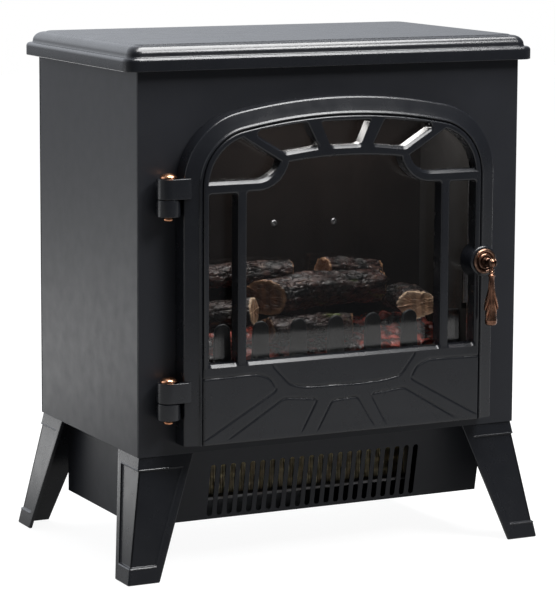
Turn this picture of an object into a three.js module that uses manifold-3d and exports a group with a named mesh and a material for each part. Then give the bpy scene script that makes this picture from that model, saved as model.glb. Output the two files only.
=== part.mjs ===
// Free-standing electric fireplace in the shape of a small stove: sheet-steel cabinet on four splayed
// legs, moulded lid, hinged door with a fan-shaped fretwork window, log bed with flame effect, and a fan
// heater in a housing under the cabinet.
// Millimetres, +Z up, the front faces -Y. The origin is on the floor, in the middle of the overall box.
import * as THREE from "three";
import { mergeVertices } from "three/addons/utils/BufferGeometryUtils.js";
import Module from "manifold-3d";

const wasm = await Module();
wasm.setup();

// ---------------------------------------------------------------------------------------------------------
// Driving dimensions
// ---------------------------------------------------------------------------------------------------------
const overallHeight = 540;
const cabinetWidth = 438;
const cabinetDepth = 261;
const cabinetBottom = 125; // underside of the casing above the floor
const sheet = 1.2; // steel sheet
const gap = 0.3; // air between parts that touch
const runningGap = 0.35; // radial air around a part that turns
const flange = 12; // folded edge of a casing panel

const lidHeight = 26;
const lidWall = 3;
const lidSideOverhang = 15;
const lidEndOverhang = 10;
const lidCornerRadius = 14;
const lidLap = 11; // height of the casing inside the hollow lid

const doorSideMargin = 40.5; // casing's edge to the door
const doorBottomMargin = 12.5;
const doorTopMargin = 30; // top of the arch to the lid
const doorRise = 85.5; // height from the spring of the shoulders to the top of the arch
const doorShoulderRadius = 75;
const doorRim = 19.5; // depth of the outer edge in front of the casing
const doorFaceDepth = 28; // depth of the fretwork face in front of the casing
const doorBand = 15; // width of the sloping moulding
const doorClearance = 1; // between the closed door and the casing
const doorWall = 4;
const fretDepth = 16.5; // depth of the fretwork bars, down to the glass
const glassThickness = 4;
const glassLap = 11; // glass behind the fretwork all round
const windowInset = 25; // door edge to the openings
const sideBar = 41.5; // window edge to the inner side of the upright bars
const barWidth = 10;
const fanRadius = 26.5; // quarter-fan at the corners of the window
const windowSill = 80.5; // door's lower edge to the window
const panelHeight = 70; // hollow panel under the window

const hingeRadius = 12;
const hingeAir = 1.5; // knuckle to the casing and to the door
const hingePinRadius = 4;
const lowerHingeRise = 44.8; // door's lower edge to the split of the lower hinge
const upperHingeDrop = 10.9; // spring of the door's shoulders to the split of the upper hinge
const doorKnuckleHeight = 20.7;
const casingKnuckleHeight = 17.3;

const handleRise = 168.5; // door's lower edge to the handle
const handleInset = 15; // door's edge to the handle
const catchRise = 140; // door's lower edge to the magnetic catch
const catchHalf = 19;
const rosetteRadius = 13.2;
const rosetteDepth = 4.5;
const bossRadius = 15.5;
const postLength = 15; // rosette's back to the pendant's pivot
const pendantLength = 66;
const pendantHalfWidth = 10;
const pendantHalfDepth = 6;

const housingSideMargin = 18.5; // casing's edge to the heater housing
const housingHeight = 82.6;
const housingFrontLow = 45.1; // casing's front to the housing's lower front edge
const housingBackMargin = 29.8;
const housingSlope = 0.2; // how far the grille leans, per unit of height
const slotCount = 22;
const slotPitch = 11.4;
const slotWidth = 6;
const slotLowMargin = 3.6;
const slotHighMargin = 23;

const footSpreadX = 21; // foot's outer corner beyond the casing
const footSpreadY = 20.5;
const footWidthX = 35;
const footWidthY = 33;
const legTopX = 60;
const legTopY = 54;
const legTopInset = 1.2; // top corner of a leg inside the casing's corner
const legWall = 3.5;
const legFlange = 4;
const legRelief = 1.6;

const fireboxSideMargin = 47; // casing's edge to the firebox
const fireboxLift = 43; // casing's underside to the firebox
const fireboxTopMargin = 32;
const fireboxBackMargin = 40.5;
const screenThickness = 3;
const screenSetback = 122.5; // casing's front to the flame screen
const grateSetback = 33.5; // casing's front to the grate
const grateThickness = 3;
const gratePost = 20;
const toothPitch = 44;
const toothWidth = 20;
const toothTopLift = 81; // firebox floor to the top of the teeth
const toothRootLift = 54;
const bedLift = 44; // firebox floor to the front edge of the ember bed

const rotorRadius = 21;
const elementSetback = 36; // grille to the heating element
const elementDepth = 40;
const rotorEndRoom = 84.5; // housing's side to the end of the rotor
const shaftRadius = 3;
const scrollAir = 3.5;
const spindleReach = 17; // radius swept by the reflectors
const spindleEndRoom = 44; // firebox wall to the end of the reflectors
const lampRadius = 17;
const lampLength = 74;

const controlHalf = [34, 68];
const controlInset = [84, 94]; // casing's edge and lid to the middle of the control plate
const plateThickness = 3;
const rockerHalf = [7, 11];
const rockerRoom = 1;
const rockerTilt = 7; // degrees each side of level
const glandInset = [54, 25]; // casing's edge and underside to the cord's gland
const glandRadius = 8;

// ---------------------------------------------------------------------------------------------------------
// Values worked out from them
// ---------------------------------------------------------------------------------------------------------
const halfWidth = cabinetWidth / 2;
const halfDepth = cabinetDepth / 2;
const lidBottom = overallHeight - lidHeight;
const panelTop = lidBottom + lidLap;

const doorHalf = halfWidth - doorSideMargin;
const doorBottom = cabinetBottom + doorBottomMargin;
const doorCrown = lidBottom - doorTopMargin;
const doorSpring = doorCrown - doorRise;
const doorBackY = -halfDepth - doorClearance;
const doorRimY = -halfDepth - doorRim;
const doorFaceY = -halfDepth - doorFaceDepth;
const glassFrontY = doorFaceY + fretDepth + gap;
const glassBackY = glassFrontY + glassThickness;
const retainerBackY = glassBackY + gap + 3;
const windowHalf = doorHalf - windowInset;
const fanCentre = [windowHalf - 53.5, doorSpring + 30.5];

const hingeX = -doorHalf - hingeRadius - hingeAir;
const hingeY = -halfDepth - hingeRadius - hingeAir;
const lowerSplit = doorBottom + lowerHingeRise;
const upperSplit = doorSpring - upperHingeDrop;

const handleSide = doorHalf - handleInset;
const handleHeight = doorBottom + handleRise;
const catchHeight = doorBottom + catchRise;
const rosetteY = doorFaceY - 1.5;
const pivotY = rosetteY - gap - postLength;

const housingHalf = halfWidth - housingSideMargin;
const housingBottom = cabinetBottom - housingHeight;
const housingTop = cabinetBottom - gap;
const housingBack = halfDepth - housingBackMargin;
const slotLow = housingBottom + slotLowMargin;
const slotHigh = cabinetBottom - slotHighMargin;
const rotorHalf = housingHalf - rotorEndRoom;
const grilleFrontAt = (z) => -halfDepth + housingFrontLow - housingSlope * (z - housingBottom);
const elementFront = grilleFrontAt(slotHigh) + elementSetback;
const elementBack = elementFront + elementDepth;
const rotorY = (elementBack + housingBack) / 2;
const rotorHeight = housingBottom + 39.6;

const footReachX = halfWidth + footSpreadX;
const footReachY = halfDepth + footSpreadY;

const fireboxHalf = halfWidth - fireboxSideMargin;
const fireboxFloor = cabinetBottom + fireboxLift;
const fireboxTop = lidBottom - fireboxTopMargin;
const fireboxFront = -halfDepth + sheet + 1;
const fireboxBack = halfDepth - fireboxBackMargin;
const screenY = -halfDepth + screenSetback;
const grateY = -halfDepth + grateSetback;
const toothTop = fireboxFloor + toothTopLift;
const toothRoot = fireboxFloor + toothRootLift;
const spindleHalf = fireboxHalf - spindleEndRoom;
const spindleY = screenY + screenThickness + 39;
const spindleHeight = fireboxFloor + 94;

const controlCentre = [-halfWidth + controlInset[0], lidBottom - controlInset[1]];
const plateFace = halfDepth + gap + plateThickness;
const knobHeight = controlCentre[1] - 38;
const glandPlace = [halfWidth - glandInset[0], cabinetBottom + glandInset[1]];

const frontReach = -pivotY + pendantHalfDepth;
const centreShift = (frontReach - footReachY) / 2;

// ---------------------------------------------------------------------------------------------------------
// Materials
// ---------------------------------------------------------------------------------------------------------
const finish = (color, roughness, metalness, extra = {}) =>
  new THREE.MeshStandardMaterial({ color, roughness, metalness, ...extra });

const blackSteel = finish(0x26272a, 0.42, 0.3);
const blackPlastic = finish(0x232427, 0.38, 0.0);
const innerBlack = finish(0x121213, 0.7, 0.1);
const copper = finish(0x8a5138, 0.3, 0.9);
const smokedGlass = finish(0x202224, 0.05, 0.0, { transparent: true, opacity: 0.3 });
const bark = finish(0x2b2724, 0.6, 0.0);
const ember = finish(0x7a2a1a, 0.5, 0.0);
const smokedAcrylic = finish(0x0c0b0a, 0.15, 0.0);
const brightMetal = finish(0xb9bcc0, 0.3, 0.9);
const bulbGlass = finish(0xe8dcc4, 0.15, 0.0, { transparent: true, opacity: 0.6 });
const whitePlastic = finish(0xd8d6cf, 0.5, 0.0);
const rubber = finish(0x161616, 0.8, 0.0);

// ---------------------------------------------------------------------------------------------------------
// Solids: every helper gives a manifold solid, so pieces can be joined and cut
// ---------------------------------------------------------------------------------------------------------
function toSolid(geometry) {
  const bare = geometry.index ? geometry.toNonIndexed() : geometry.clone();
  bare.deleteAttribute("normal");
  bare.deleteAttribute("uv");
  const merged = mergeVertices(bare, 1e-4);
  return new wasm.Manifold(
    new wasm.Mesh({
      numProp: 3,
      vertProperties: merged.attributes.position.array,
      triVerts: new Uint32Array(merged.index.array),
    }),
  );
}

function toGeometry(solid) {
  const mesh = solid.getMesh();
  const position = new Float32Array(mesh.numVert * 3);
  for (let i = 0; i < mesh.numVert; i++)
    position.set(mesh.vertProperties.subarray(i * mesh.numProp, i * mesh.numProp + 3), i * 3);
  const geometry = new THREE.BufferGeometry();
  geometry.setAttribute("position", new THREE.BufferAttribute(position, 3));
  geometry.setIndex(new THREE.BufferAttribute(mesh.triVerts, 1));
  geometry.computeVertexNormals();
  return geometry;
}

const join = (solids) => solids.reduce((whole, piece) => whole.add(piece));
const cut = (solid, tools) => tools.reduce((left, tool) => left.subtract(tool), solid);

// A block between two corners.
function block(x0, y0, z0, x1, y1, z1) {
  const geometry = new THREE.BoxGeometry(x1 - x0, y1 - y0, z1 - z0);
  geometry.translate((x0 + x1) / 2, (y0 + y1) / 2, (z0 + z1) / 2);
  return toSolid(geometry);
}

// A shape drawn in X and Z, given thickness from frontY back to backY.
function frontPlate(shape, frontY, backY, curveSegments = 8) {
  const options = { depth: backY - frontY, bevelEnabled: false, curveSegments };
  const geometry = new THREE.ExtrudeGeometry(shape, options);
  geometry.rotateX(Math.PI / 2);
  geometry.translate(0, backY, 0);
  return toSolid(geometry);
}

// A shape drawn in Y and Z, carried along X from x0 to x1.
function alongX(shape, x0, x1, curveSegments = 8) {
  const options = { depth: x1 - x0, bevelEnabled: false, curveSegments };
  const geometry = new THREE.ExtrudeGeometry(shape, options);
  geometry.rotateX(Math.PI / 2);
  geometry.rotateZ(Math.PI / 2);
  geometry.translate(x0, 0, 0);
  return toSolid(geometry);
}

function cylinder(axis, radiusLow, radiusHigh, low, high, across, segments = 24) {
  const geometry = new THREE.CylinderGeometry(radiusHigh, radiusLow, high - low, segments);
  geometry.translate(0, (low + high) / 2, 0);
  if (axis === "x") geometry.rotateZ(-Math.PI / 2);
  if (axis === "z") geometry.rotateX(Math.PI / 2);
  geometry.translate(...across);
  return toSolid(geometry);
}

// A turned piece: profile points are [radius, height], from the axis back to the axis.
function turned(profile, centre, segments = 24, depthShare = 1) {
  const points = profile.map(([radius, height]) => new THREE.Vector2(radius, height));
  const geometry = new THREE.LatheGeometry(points, segments);
  geometry.rotateX(Math.PI / 2);
  geometry.scale(1, depthShare, 1);
  geometry.translate(...centre);
  return toSolid(geometry);
}

// A solid through rings of equally many points, closed by a fan at each end.
function loft(rings) {
  const count = rings[0].length;
  const position = rings.flat().flatMap((point) => point);
  const index = [];
  for (let r = 0; r + 1 < rings.length; r++)
    for (let i = 0; i < count; i++) {
      const a = r * count + i;
      const b = r * count + ((i + 1) % count);
      index.push(a, b, b + count, a, b + count, a + count);
    }
  const last = (rings.length - 1) * count;
  for (let i = 1; i + 1 < count; i++) {
    index.push(0, i + 1, i);
    index.push(last, last + i, last + i + 1);
  }
  const geometry = new THREE.BufferGeometry();
  geometry.setAttribute("position", new THREE.Float32BufferAttribute(position, 3));
  geometry.setIndex(index);
  return toSolid(geometry);
}

// A rectangle with rounded corners as a ring of points at one height.
function roundedRing(halfX, halfY, radius, height, cornerSteps = 5) {
  const ring = [];
  for (let corner = 0; corner < 4; corner++)
    for (let step = 0; step <= cornerSteps; step++) {
      const angle = ((corner + step / cornerSteps) * Math.PI) / 2;
      const signX = corner === 0 || corner === 3 ? 1 : -1;
      const signY = corner < 2 ? 1 : -1;
      ring.push([
        signX * (halfX - radius) + radius * Math.cos(angle),
        signY * (halfY - radius) + radius * Math.sin(angle),
        height,
      ]);
    }
  return ring;
}

// A polygon whose corners are rounded by a quadratic curve that starts this far from each corner.
function roundedPolygon(corners, radius) {
  const shape = new THREE.Shape();
  const points = corners.map(([x, z]) => new THREE.Vector2(x, z));
  points.forEach((corner, i) => {
    const before = points[(i + points.length - 1) % points.length];
    const after = points[(i + 1) % points.length];
    const into = corner.clone().add(before.clone().sub(corner).setLength(radius));
    const out = corner.clone().add(after.clone().sub(corner).setLength(radius));
    if (i === 0) shape.moveTo(into.x, into.y);
    else shape.lineTo(into.x, into.y);
    shape.quadraticCurveTo(corner.x, corner.y, out.x, out.y);
  });
  shape.closePath();
  return shape;
}

const polygon = (corners) => new THREE.Shape(corners.map(([a, b]) => new THREE.Vector2(a, b)));
const mirrored = (corners) => corners.map(([x, z]) => [-x, z]).reverse();

const stove = new THREE.Group();
stove.position.y = centreShift;

function addNode(name, solid, material) {
  const mesh = new THREE.Mesh(toGeometry(solid), material);
  mesh.name = name;
  stove.add(mesh);
}

// ---------------------------------------------------------------------------------------------------------
// Lid: a plinth, a small ledge and a quarter-round up to a flat top, hollow underneath
// ---------------------------------------------------------------------------------------------------------
function makeLid() {
  const halfX = halfWidth + lidSideOverhang;
  const halfY = halfDepth + lidEndOverhang;
  const edge = [
    [0, 0],
    [0, 0.4],
    [1.2, 0.48],
    [4.5, 0.54],
    [6.5, 0.6],
    [7.5, 0.72],
    [10.5, 0.85],
    [14.5, 0.94],
    [20, 1],
  ]; // inset from the outer edge, share of the lid's height
  const ring = ([inset, share]) =>
    roundedRing(halfX - inset, halfY - inset, lidCornerRadius, lidBottom + share * lidHeight);
  const outside = loft(edge.map(ring));
  const hollowX = halfX - lidWall;
  const hollowY = halfY - lidWall;
  const hollow = loft([
    roundedRing(hollowX, hollowY, lidCornerRadius - lidWall, lidBottom - 1),
    roundedRing(hollowX, hollowY, lidCornerRadius - lidWall, lidBottom + 0.43 * lidHeight),
    roundedRing(hollowX - 7, hollowY - 7, lidCornerRadius - lidWall, lidBottom + 0.62 * lidHeight),
    roundedRing(hollowX - 15, hollowY - 15, 4, overallHeight - lidWall),
  ]);
  addNode("top_lid", outside.subtract(hollow), blackPlastic);
}

// ---------------------------------------------------------------------------------------------------------
// Door outline: straight sides, round shoulders and a flat crown arc, all tangent
// ---------------------------------------------------------------------------------------------------------
function doorOutline(inset, bottomInset = inset) {
  const rise = doorCrown - doorSpring;
  const shoulderX = doorHalf - doorShoulderRadius;
  const crownRadius =
    (shoulderX ** 2 + rise ** 2 - doorShoulderRadius ** 2) / (2 * (rise - doorShoulderRadius));
  const crownCentre = doorCrown - crownRadius;
  const turn = Math.atan2(doorSpring - crownCentre, shoulderX);
  const shape = new THREE.Shape();
  shape.moveTo(-doorHalf + inset, doorBottom + bottomInset);
  shape.lineTo(doorHalf - inset, doorBottom + bottomInset);
  shape.lineTo(doorHalf - inset, doorSpring);
  shape.absarc(shoulderX, doorSpring, doorShoulderRadius - inset, 0, turn, false);
  shape.absarc(0, crownCentre, crownRadius - inset, turn, Math.PI - turn, false);
  shape.absarc(-shoulderX, doorSpring, doorShoulderRadius - inset, Math.PI - turn, Math.PI, false);
  shape.closePath();
  return shape;
}

// The moulded door blank: a rim, a sloping band and the raised face. grow makes it larger all round.
function doorBlank(grow = 0) {
  const rim = frontPlate(doorOutline(-grow), doorRimY - grow, doorBackY + grow, 10);
  const steps = 3;
  const layers = [rim];
  for (let i = 1; i <= steps; i++) {
    const inset = (doorBand * (i - 0.5)) / steps - grow;
    const depth = doorRimY + ((doorFaceY - doorRimY) * i) / steps - grow;
    layers.push(frontPlate(doorOutline(inset, -grow), depth, doorBackY, 10));
  }
  return join(layers);
}

// Window openings of the fretwork, in X and Z. A bar 10 wide curves round each quarter-fan.
function windowOpenings() {
  const main = new THREE.Shape();
  const outerRadius = fanRadius + barWidth;
  const reach = THREE.MathUtils.degToRad(194);
  const cornerX = fanCentre[0] + outerRadius * Math.cos(reach);
  const cornerZ = fanCentre[1] + outerRadius * Math.sin(reach);
  const sillZ = doorBottom + windowSill;
  const innerBar = windowHalf - sideBar;
  main.moveTo(-innerBar, sillZ);
  main.lineTo(innerBar, sillZ);
  main.lineTo(innerBar, fanCentre[1] - outerRadius);
  main.absarc(fanCentre[0], fanCentre[1], outerRadius, 1.5 * Math.PI, reach, true);
  main.quadraticCurveTo(0, cornerZ + 8, -cornerX, cornerZ);
  main.absarc(-fanCentre[0], fanCentre[1], outerRadius, 3 * Math.PI - reach, 1.5 * Math.PI, true);
  main.lineTo(-innerBar, fanCentre[1] - outerRadius);
  main.closePath();

  const sideTop = fanCentre[1] - outerRadius - 1;
  const side = [
    [innerBar + barWidth, sillZ],
    [windowHalf, sillZ],
    [windowHalf, sideTop],
    [innerBar + barWidth, sideTop],
  ];
  const [fanX, fanZ] = fanCentre;
  const topZ = doorCrown - 24.4;
  const wedge = [
    [31, fanZ + 4.4],
    [fanX - 31, fanZ],
    [fanX + 1, fanZ + 19.3],
    [fanX - 2, fanZ + 24.8],
    [44.7, topZ],
  ];
  const crown = [
    [-17, fanZ + 4.5],
    [17, fanZ + 4.5],
    [29, topZ],
    [-29, topZ],
  ];
  const openings = [main, roundedPolygon(crown, 3)];
  openings.push(roundedPolygon(side, 3), roundedPolygon(mirrored(side), 3));
  openings.push(roundedPolygon(wedge, 2.5), roundedPolygon(mirrored(wedge), 2.5));
  openings.push(quarterFan(), quarterFan(-1));
  return openings;
}

function quarterFan(sign = 1) {
  const arcRadius = doorShoulderRadius - windowInset;
  const arcCentre = [doorHalf - doorShoulderRadius, doorSpring];
  const points = [];
  const low = Math.PI * 1.5;
  const high = Math.PI * 1.09;
  for (let i = 0; i <= 8; i++) {
    const angle = low + ((high - low) * i) / 8;
    points.push([
      fanCentre[0] + fanRadius * Math.cos(angle),
      fanCentre[1] + fanRadius * Math.sin(angle),
    ]);
  }
  for (let i = 0; i <= 8; i++) {
    const angle = THREE.MathUtils.degToRad(75 - (75 - 4.6) * (i / 8));
    points.push([arcCentre[0] + arcRadius * Math.cos(angle), arcCentre[1] + arcRadius * Math.sin(angle)]);
  }
  return polygon(sign > 0 ? points : mirrored(points));
}

function makeDoor() {
  const windows = windowOpenings().map((shape) => frontPlate(shape, doorFaceY - 5, doorBackY + 5, 6));
  const pocket = frontPlate(doorOutline(doorWall), glassFrontY - gap, doorBackY + 5, 10);
  const panelPocket = block(
    -doorHalf + 10,
    doorFaceY + doorWall,
    doorBottom + doorWall,
    doorHalf - 10,
    glassFrontY,
    doorBottom + panelHeight,
  );
  const bossBody = cylinder(
    "y",
    bossRadius,
    bossRadius + 4,
    rosetteY,
    glassFrontY - gap,
    [handleSide, 0, handleHeight],
  );
  const boss = bossBody.intersect(frontPlate(doorOutline(0), rosetteY - 1, doorBackY, 10));
  const frame = cut(doorBlank(), [...windows, pocket, panelPocket]).add(boss);
  addNode("door_frame", frame, blackPlastic);

  const paneRise = panelHeight + 4;
  const pane = frontPlate(doorOutline(windowInset - glassLap, paneRise), glassFrontY, glassBackY, 8);
  addNode("door_glass", pane, smokedGlass);
  for (const [side, sign] of [["left", -1], ["right", 1]]) {
    const outer = sign * (windowHalf + 13);
    const clip = sideBlock(outer, sign, 9, glassBackY + gap, retainerBackY, doorBottom + 78, doorSpring);
    addNode(`glass_retainer_${side}`, clip, brightMetal);
  }
}

// ---------------------------------------------------------------------------------------------------------
// Hinges: the upper knuckle turns with the door, the lower one is fixed to the casing, one pin through both
// ---------------------------------------------------------------------------------------------------------
function makeHinge(name, split) {
  const bore = cylinder(
    "z",
    hingePinRadius + runningGap,
    hingePinRadius + runningGap,
    split - casingKnuckleHeight - 5,
    split + doorKnuckleHeight + 5,
    [hingeX, hingeY, 0],
  );
  const doorLow = split + gap;
  const doorHigh = split + doorKnuckleHeight;
  const doorKnuckle = cylinder("z", hingeRadius, hingeRadius, doorLow, doorHigh, [hingeX, hingeY, 0]);
  const arm = block(hingeX, doorRimY - 5.5, doorLow, -doorHalf + 7, hingeY + 2, doorHigh);
  const leaf = doorKnuckle.add(arm).subtract(doorBlank(gap)).subtract(bore);
  addNode(`hinge_leaf_${name}`, leaf, blackPlastic);

  const low = split - casingKnuckleHeight;
  const knuckle = cylinder("z", hingeRadius, hingeRadius, low, split - gap, [hingeX, hingeY, 0]);
  const stem = block(hingeX - 8, hingeY, low, hingeX + 8, -halfDepth - gap, split - gap);
  addNode(`hinge_bracket_${name}`, knuckle.add(stem).subtract(bore), blackPlastic);

  const headBase = doorHigh + gap;
  const ringTop = low - gap;
  const pin = turned(
    [
      [0, ringTop - 4.2],
      [4.2, ringTop - 4.2],
      [5.2, ringTop - 3.2],
      [5.2, ringTop - 1],
      [hingePinRadius, ringTop],
      [hingePinRadius, headBase],
      [8.6, headBase],
      [8, headBase + 1.8],
      [5.6, headBase + 3.7],
      [2.6, headBase + 4.6],
      [0, headBase + 4.8],
    ],
    [hingeX, hingeY, 0],
  );
  addNode(`hinge_pin_${name}`, pin, copper);
}

// ---------------------------------------------------------------------------------------------------------
// Handle: rosette, post with a fork, and a pendant that swings on the fork's cross pin
// ---------------------------------------------------------------------------------------------------------
function makeHandle() {
  const centre = [handleSide, 0, handleHeight];
  const rosetteFront = rosetteY - gap - rosetteDepth;
  const rosette = join([
    cylinder("y", rosetteRadius - 1.5, rosetteRadius, rosetteY - gap - 3, rosetteY - gap, centre),
    cylinder("y", rosetteRadius - 6, rosetteRadius - 4, rosetteFront, rosetteY - gap - 2, centre),
  ]);
  addNode("handle_rosette", rosette, copper);

  const forkHalf = 4.2;
  const eyeHalf = 2.1;
  const pinRadius = 1.7;
  const stem = cylinder("y", 3.4, 4.4, pivotY + 6, rosetteFront - gap, centre, 16);
  const yoke = block(
    handleSide - forkHalf,
    pivotY + 5.4,
    handleHeight - 3,
    handleSide + forkHalf,
    pivotY + 7.4,
    handleHeight + 3,
  );
  const cheeks = [-1, 1].map((sign) =>
    block(
      handleSide + Math.min(sign * forkHalf, sign * (eyeHalf + gap)),
      pivotY - 2.6,
      handleHeight - 3,
      handleSide + Math.max(sign * forkHalf, sign * (eyeHalf + gap)),
      pivotY + 6,
      handleHeight + 3,
    ),
  );
  const crossPin = cylinder(
    "x",
    pinRadius,
    pinRadius,
    handleSide - forkHalf,
    handleSide + forkHalf,
    [0, pivotY, handleHeight],
    16,
  );
  addNode("handle_post", join([stem, yoke, ...cheeks, crossPin]), copper);

  const pivot = [0, pivotY, handleHeight];
  const eye = cylinder("x", 4.6, 4.6, handleSide - eyeHalf, handleSide + eyeHalf, pivot, 20);
  const eyeBore = cylinder(
    "x",
    pinRadius + runningGap,
    pinRadius + runningGap,
    handleSide - 5,
    handleSide + 5,
    [0, pivotY, handleHeight],
    16,
  );
  const drop = turned(
    [
      [0, -pendantLength],
      [5.2, -pendantLength],
      [5.8, -pendantLength + 1.5],
      [5.6, -pendantLength + 4],
      [8.2, -pendantLength + 9],
      [pendantHalfWidth, -pendantLength + 18],
      [7.6, -pendantLength + 28],
      [4.4, -pendantLength + 38],
      [3.4, -pendantLength + 50],
      [3.2, -13],
      [3.7, -12],
      [3.7, -10.5],
      [2.1, -9.5],
      [2.1, -3.4],
      [0, -3.4],
    ],
    [handleSide, pivotY, handleHeight],
    20,
    pendantHalfDepth / pendantHalfWidth,
  );
  addNode("handle_pendant", eye.add(drop).subtract(eyeBore), copper);
}

function makeCatch() {
  const innerX = windowHalf + 1;
  const low = catchHeight - catchHalf;
  const high = catchHeight + catchHalf;
  const magnet = block(innerX, -halfDepth, low, innerX + 9, -halfDepth + 14, high);
  const earFront = -halfDepth + sheet + gap;
  const ear = block(innerX, earFront, low - 7, fireboxHalf - gap, earFront + 2, high + 7);
  addNode("catch_magnet", magnet.add(ear), innerBlack);
  const plateX = innerX + 14;
  const plateBack = retainerBackY + gap;
  const plate = block(plateX, plateBack, low, plateX + 5, doorBackY - 0.4, high);
  const strap = block(innerX, plateBack, low, plateX + 1, doorBackY - 0.8, high);
  addNode("catch_plate", plate.add(strap), brightMetal);
}

// ---------------------------------------------------------------------------------------------------------
// Casing: folded steel panels
// ---------------------------------------------------------------------------------------------------------
function makeCasing() {
  const low = cabinetBottom;
  const front = polygon([
    [-halfWidth, low],
    [halfWidth, low],
    [halfWidth, panelTop],
    [-halfWidth, panelTop],
  ]);
  front.holes.push(doorOutline(14));
  addNode("front_panel", frontPlate(front, -halfDepth, -halfDepth + sheet, 8), blackSteel);

  for (const [side, sign] of [["left", -1], ["right", 1]]) {
    const y0 = -halfDepth + sheet + gap;
    const y1 = halfDepth - sheet - gap;
    const outer = sign * halfWidth;
    const folded = sideBlock(outer, sign, flange, y0, y1, low, panelTop);
    const skin = outer - sign * sheet;
    const inside = sideBlock(skin, sign, flange, y0 + sheet, y1 - sheet, low + sheet, panelTop + 1);
    addNode(`${side}_side_panel`, folded.subtract(inside), blackSteel);
  }

  const y0 = -halfDepth + 2 * sheet + 3 * gap;
  const y1 = halfDepth - 2 * sheet - 3 * gap;
  const baseTop = low + 2 * sheet + gap;
  const baseX = halfWidth - sheet - gap;
  const plate = block(-baseX, y0, low + sheet + gap, baseX, y1, baseTop);
  const cableHole = block(fireboxHalf - 42, 60, low, fireboxHalf - 22, 80, low + 10);
  addNode("base_plate", plate.subtract(cableHole), blackSteel);
}

// A block that starts at outer and goes inwards by width.
function sideBlock(outer, sign, width, y0, y1, z0, z1) {
  const inner = outer - sign * width;
  return block(Math.min(outer, inner), y0, z0, Math.max(outer, inner), y1, z1);
}

function makeBackPanel() {
  const back = polygon([
    [-halfWidth, cabinetBottom],
    [halfWidth, cabinetBottom],
    [halfWidth, panelTop],
    [-halfWidth, panelTop],
  ]);
  for (let row = 0; row < 9; row++)
    for (const side of [-1, 1]) {
      const z = 330 + row * 12;
      const middle = 40 + side * 42;
      back.holes.push(
        roundedPolygon(
          [
            [middle - 34, z],
            [middle + 34, z],
            [middle + 34, z + 4.4],
            [middle - 34, z + 4.4],
          ],
          2,
        ),
      );
    }
  const [cx, cz] = controlCentre;
  back.holes.push(
    polygon([
      [cx - controlHalf[0] + 5, cz - controlHalf[1] + 5],
      [cx + controlHalf[0] - 5, cz - controlHalf[1] + 5],
      [cx + controlHalf[0] - 5, cz + controlHalf[1] - 5],
      [cx - controlHalf[0] + 5, cz + controlHalf[1] - 5],
    ]),
  );
  const glandHole = new THREE.Path();
  glandHole.absarc(glandPlace[0], glandPlace[1], glandRadius, 0, Math.PI * 2, true);
  back.holes.push(glandHole);
  addNode("back_panel", frontPlate(back, halfDepth - sheet, halfDepth, 6), blackSteel);

  const glandCentre = [glandPlace[0], 0, glandPlace[1]];
  const bushRadius = glandRadius - gap;
  const bush = cylinder("y", bushRadius, bushRadius, halfDepth - 8, halfDepth + 2, glandCentre, 20);
  const collar = cylinder("y", 11, 9, halfDepth + gap, halfDepth + 7, glandCentre, 20);
  const wire = cylinder("y", 3.6, 3.6, halfDepth - 20, halfDepth + 20, glandCentre, 16);
  addNode("cord_gland", bush.add(collar).subtract(wire), rubber);
}

// ---------------------------------------------------------------------------------------------------------
// Controls on the back: a plate, three rocker switches and a thermostat knob
// ---------------------------------------------------------------------------------------------------------
function rockerCentres() {
  const top = controlCentre[1] + 48;
  return [
    ["flame_switch", -14, top],
    ["low_heat_switch", 14, top],
    ["high_heat_switch", 0, top - 30],
  ].map(([name, dx, z]) => [name, controlCentre[0] + dx, z]);
}

function makeControls() {
  const [cx, cz] = controlCentre;
  const plate = polygon([
    [cx - controlHalf[0], cz - controlHalf[1]],
    [cx + controlHalf[0], cz - controlHalf[1]],
    [cx + controlHalf[0], cz + controlHalf[1]],
    [cx - controlHalf[0], cz + controlHalf[1]],
  ]);
  const body = frontPlate(plate, halfDepth + gap, plateFace, 4);
  const box = block(
    cx - controlHalf[0] + 6,
    halfDepth - 26,
    cz - controlHalf[1] + 6,
    cx + controlHalf[0] - 6,
    halfDepth + 2,
    cz + controlHalf[1] - 6,
  );
  const wells = rockerCentres().map(([, x, z]) =>
    block(
      x - rockerHalf[0] - rockerRoom,
      halfDepth - 12,
      z - rockerHalf[1] - rockerRoom,
      x + rockerHalf[0] + rockerRoom,
      plateFace + 1,
      z + rockerHalf[1] + rockerRoom,
    ),
  );
  const shaftBore = cylinder("y", 3.4, 3.4, halfDepth - 15, plateFace + 1, [cx, 0, knobHeight], 16);
  addNode("control_plate", cut(body.add(box), [...wells, shaftBore]), blackPlastic);

  for (const [name, x, z] of rockerCentres()) {
    addNode(name, makeRocker(x, z), innerBlack);
  }

  const knobCentre = [cx, 0, knobHeight];
  const skirt = cylinder("y", 15, 14, plateFace + gap, plateFace + 5, knobCentre, 32);
  const grip = cylinder("y", 11.5, 10.5, plateFace + 4, plateFace + 12, knobCentre, 32);
  const shaft = cylinder("y", 3, 3, halfDepth - 14, plateFace + 2, knobCentre, 16);
  const tip = plateFace + 12.6;
  const pointer = block(cx - 1.2, plateFace + 4.5, knobHeight + 4, cx + 1.2, tip, knobHeight + 13);
  addNode("thermostat_knob", join([skirt, grip, shaft, pointer]), blackPlastic);
}

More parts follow.
